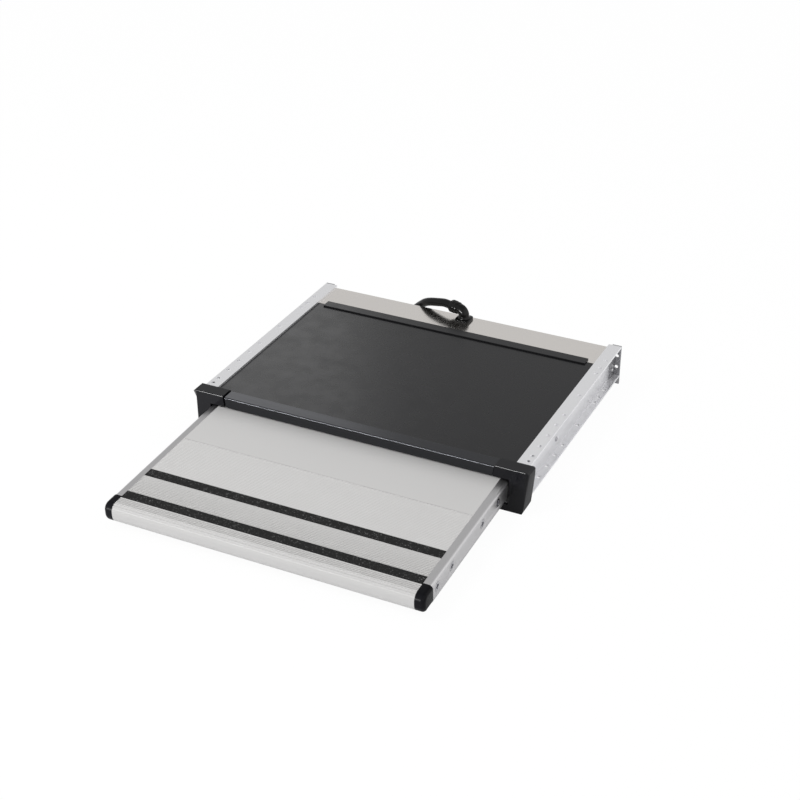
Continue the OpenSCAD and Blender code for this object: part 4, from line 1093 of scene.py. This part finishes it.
# %% [markdown]
# ### The sky
# A white sky lights the step from all sides. Its strength changes softly with the direction:
# brighter in front than behind, dimmer straight overhead, and brightest on the right, which
# shows in the right rail's web and in the glossy side of the right bracket.

# %% Sky
SKY_BACK, SKY_FRONT, SKY_TOP, SKY_RIGHT = 0.70, 0.90, 0.60, 0.8


def ranged(nodes, links, source, low, high, to_low, to_high):
    """Soft step of a value between two limits."""
    node = nodes.new("ShaderNodeMapRange")
    node.interpolation_type = "SMOOTHSTEP"
    for name, value in zip(("From Min", "From Max", "To Min", "To Max"),
                           (low, high, to_low, to_high)):
        node.inputs[name].default_value = value
    links.new(source, node.inputs["Value"])
    return node.outputs["Result"]


def sky():
    """World light by the ray's direction: dimmer behind the step and overhead, brighter in
    front of it and to its right."""
    world = bpy.data.worlds.new("studio")
    world.use_nodes = True
    nodes, links = world.node_tree.nodes, world.node_tree.links
    direction = nodes.new("ShaderNodeTexCoord")
    parts = nodes.new("ShaderNodeSeparateXYZ")
    links.new(direction.outputs["Generated"], parts.inputs[0])
    side = ranged(nodes, links, parts.outputs["Y"], -0.35, 0.25, SKY_FRONT, SKY_BACK)
    overhead = ranged(nodes, links, parts.outputs["Z"], 0.80, 0.98, 0.0, 1.0)
    mix = nodes.new("ShaderNodeMix")
    mix.inputs["B"].default_value = SKY_TOP
    links.new(overhead, mix.inputs["Factor"])
    links.new(side, mix.inputs["A"])
    right = ranged(nodes, links, parts.outputs["X"], 0.40, 0.80, 0.0, SKY_RIGHT)
    total = nodes.new("ShaderNodeMath")
    links.new(mix.outputs["Result"], total.inputs[0])
    links.new(right, total.inputs[1])
    links.new(total.outputs[0], nodes["Background"].inputs["Strength"])
    nodes["Background"].inputs["Color"].default_value = (1, 1, 1, 1)
    return world


bpy.context.scene.world = sky()
print("sky strengths:", SKY_BACK, "to", SKY_FRONT)

# %% [markdown]
# ### Softboxes
# A studio also has a few large lamps. The front light gives the soft shadows. The others reach
# only some pieces, as when a photographer flags a lamp off: the left light gives the black plate
# its fade from left to right, the nose light draws the bright line along the tread's shoulder,
# and the low strip lights the thin edges of the black pieces.

# %% Softboxes


def softbox(name, place, target, size, power, receivers=(), mirrored=True, diffuse=True):
    """A rectangular area light at a place, turned to its target, in metres and watts. With
    receivers, it lights only those pieces. One that isn't mirrored gives light and shadow, but
    no bright patch in glossy faces, and one that isn't diffuse gives only the patch."""
    data = bpy.data.lights.new(name, "AREA")
    data.shape = "RECTANGLE"
    data.size, data.size_y = size
    data.energy = power
    light = bpy.data.objects.new(name, data)
    light.location = place
    light.rotation_euler = (Vector(target) - Vector(place)).to_track_quat("-Z", "Y").to_euler()
    bpy.context.scene.collection.objects.link(light)
    light.visible_glossy = mirrored
    light.visible_diffuse = diffuse
    if receivers:
        group = bpy.data.collections.new(name + "_receivers")
        for piece in receivers:
            group.objects.link(piece)
        light.light_linking.receiver_collection = group
    return light


softbox("front_light", (-0.85, -1.2, 1.8), (0, 0, 0), (0.7, 0.7), 20, mirrored=False)
black_pieces = [copies[node] for node in ("top_plate", "rear_trim_strip")] + [bezel]
softbox("left_light", (-1.55, 1.75, 1.15), (-0.2, 0.0, 0.05), (1.1, 0.9), 4.0, black_pieces)
softbox("nose_light", (-1.06, -1.28, 1.66), (-1.06, -0.25, 0.03), (1.4, 0.12), 8, [front_plank],
        diffuse=False)
edge_pieces = [copies[node] for node in ("left_bracket", "right_bracket")]
edge_pieces += [bezel, elbow, nut, conduit, left_cap, right_cap]
softbox("low_strip", (-0.85, -2.05, 0.25), (0, 0, 0.05), (1.2, 0.25), 60, edge_pieces)
print(len(bpy.data.lights), "softboxes")
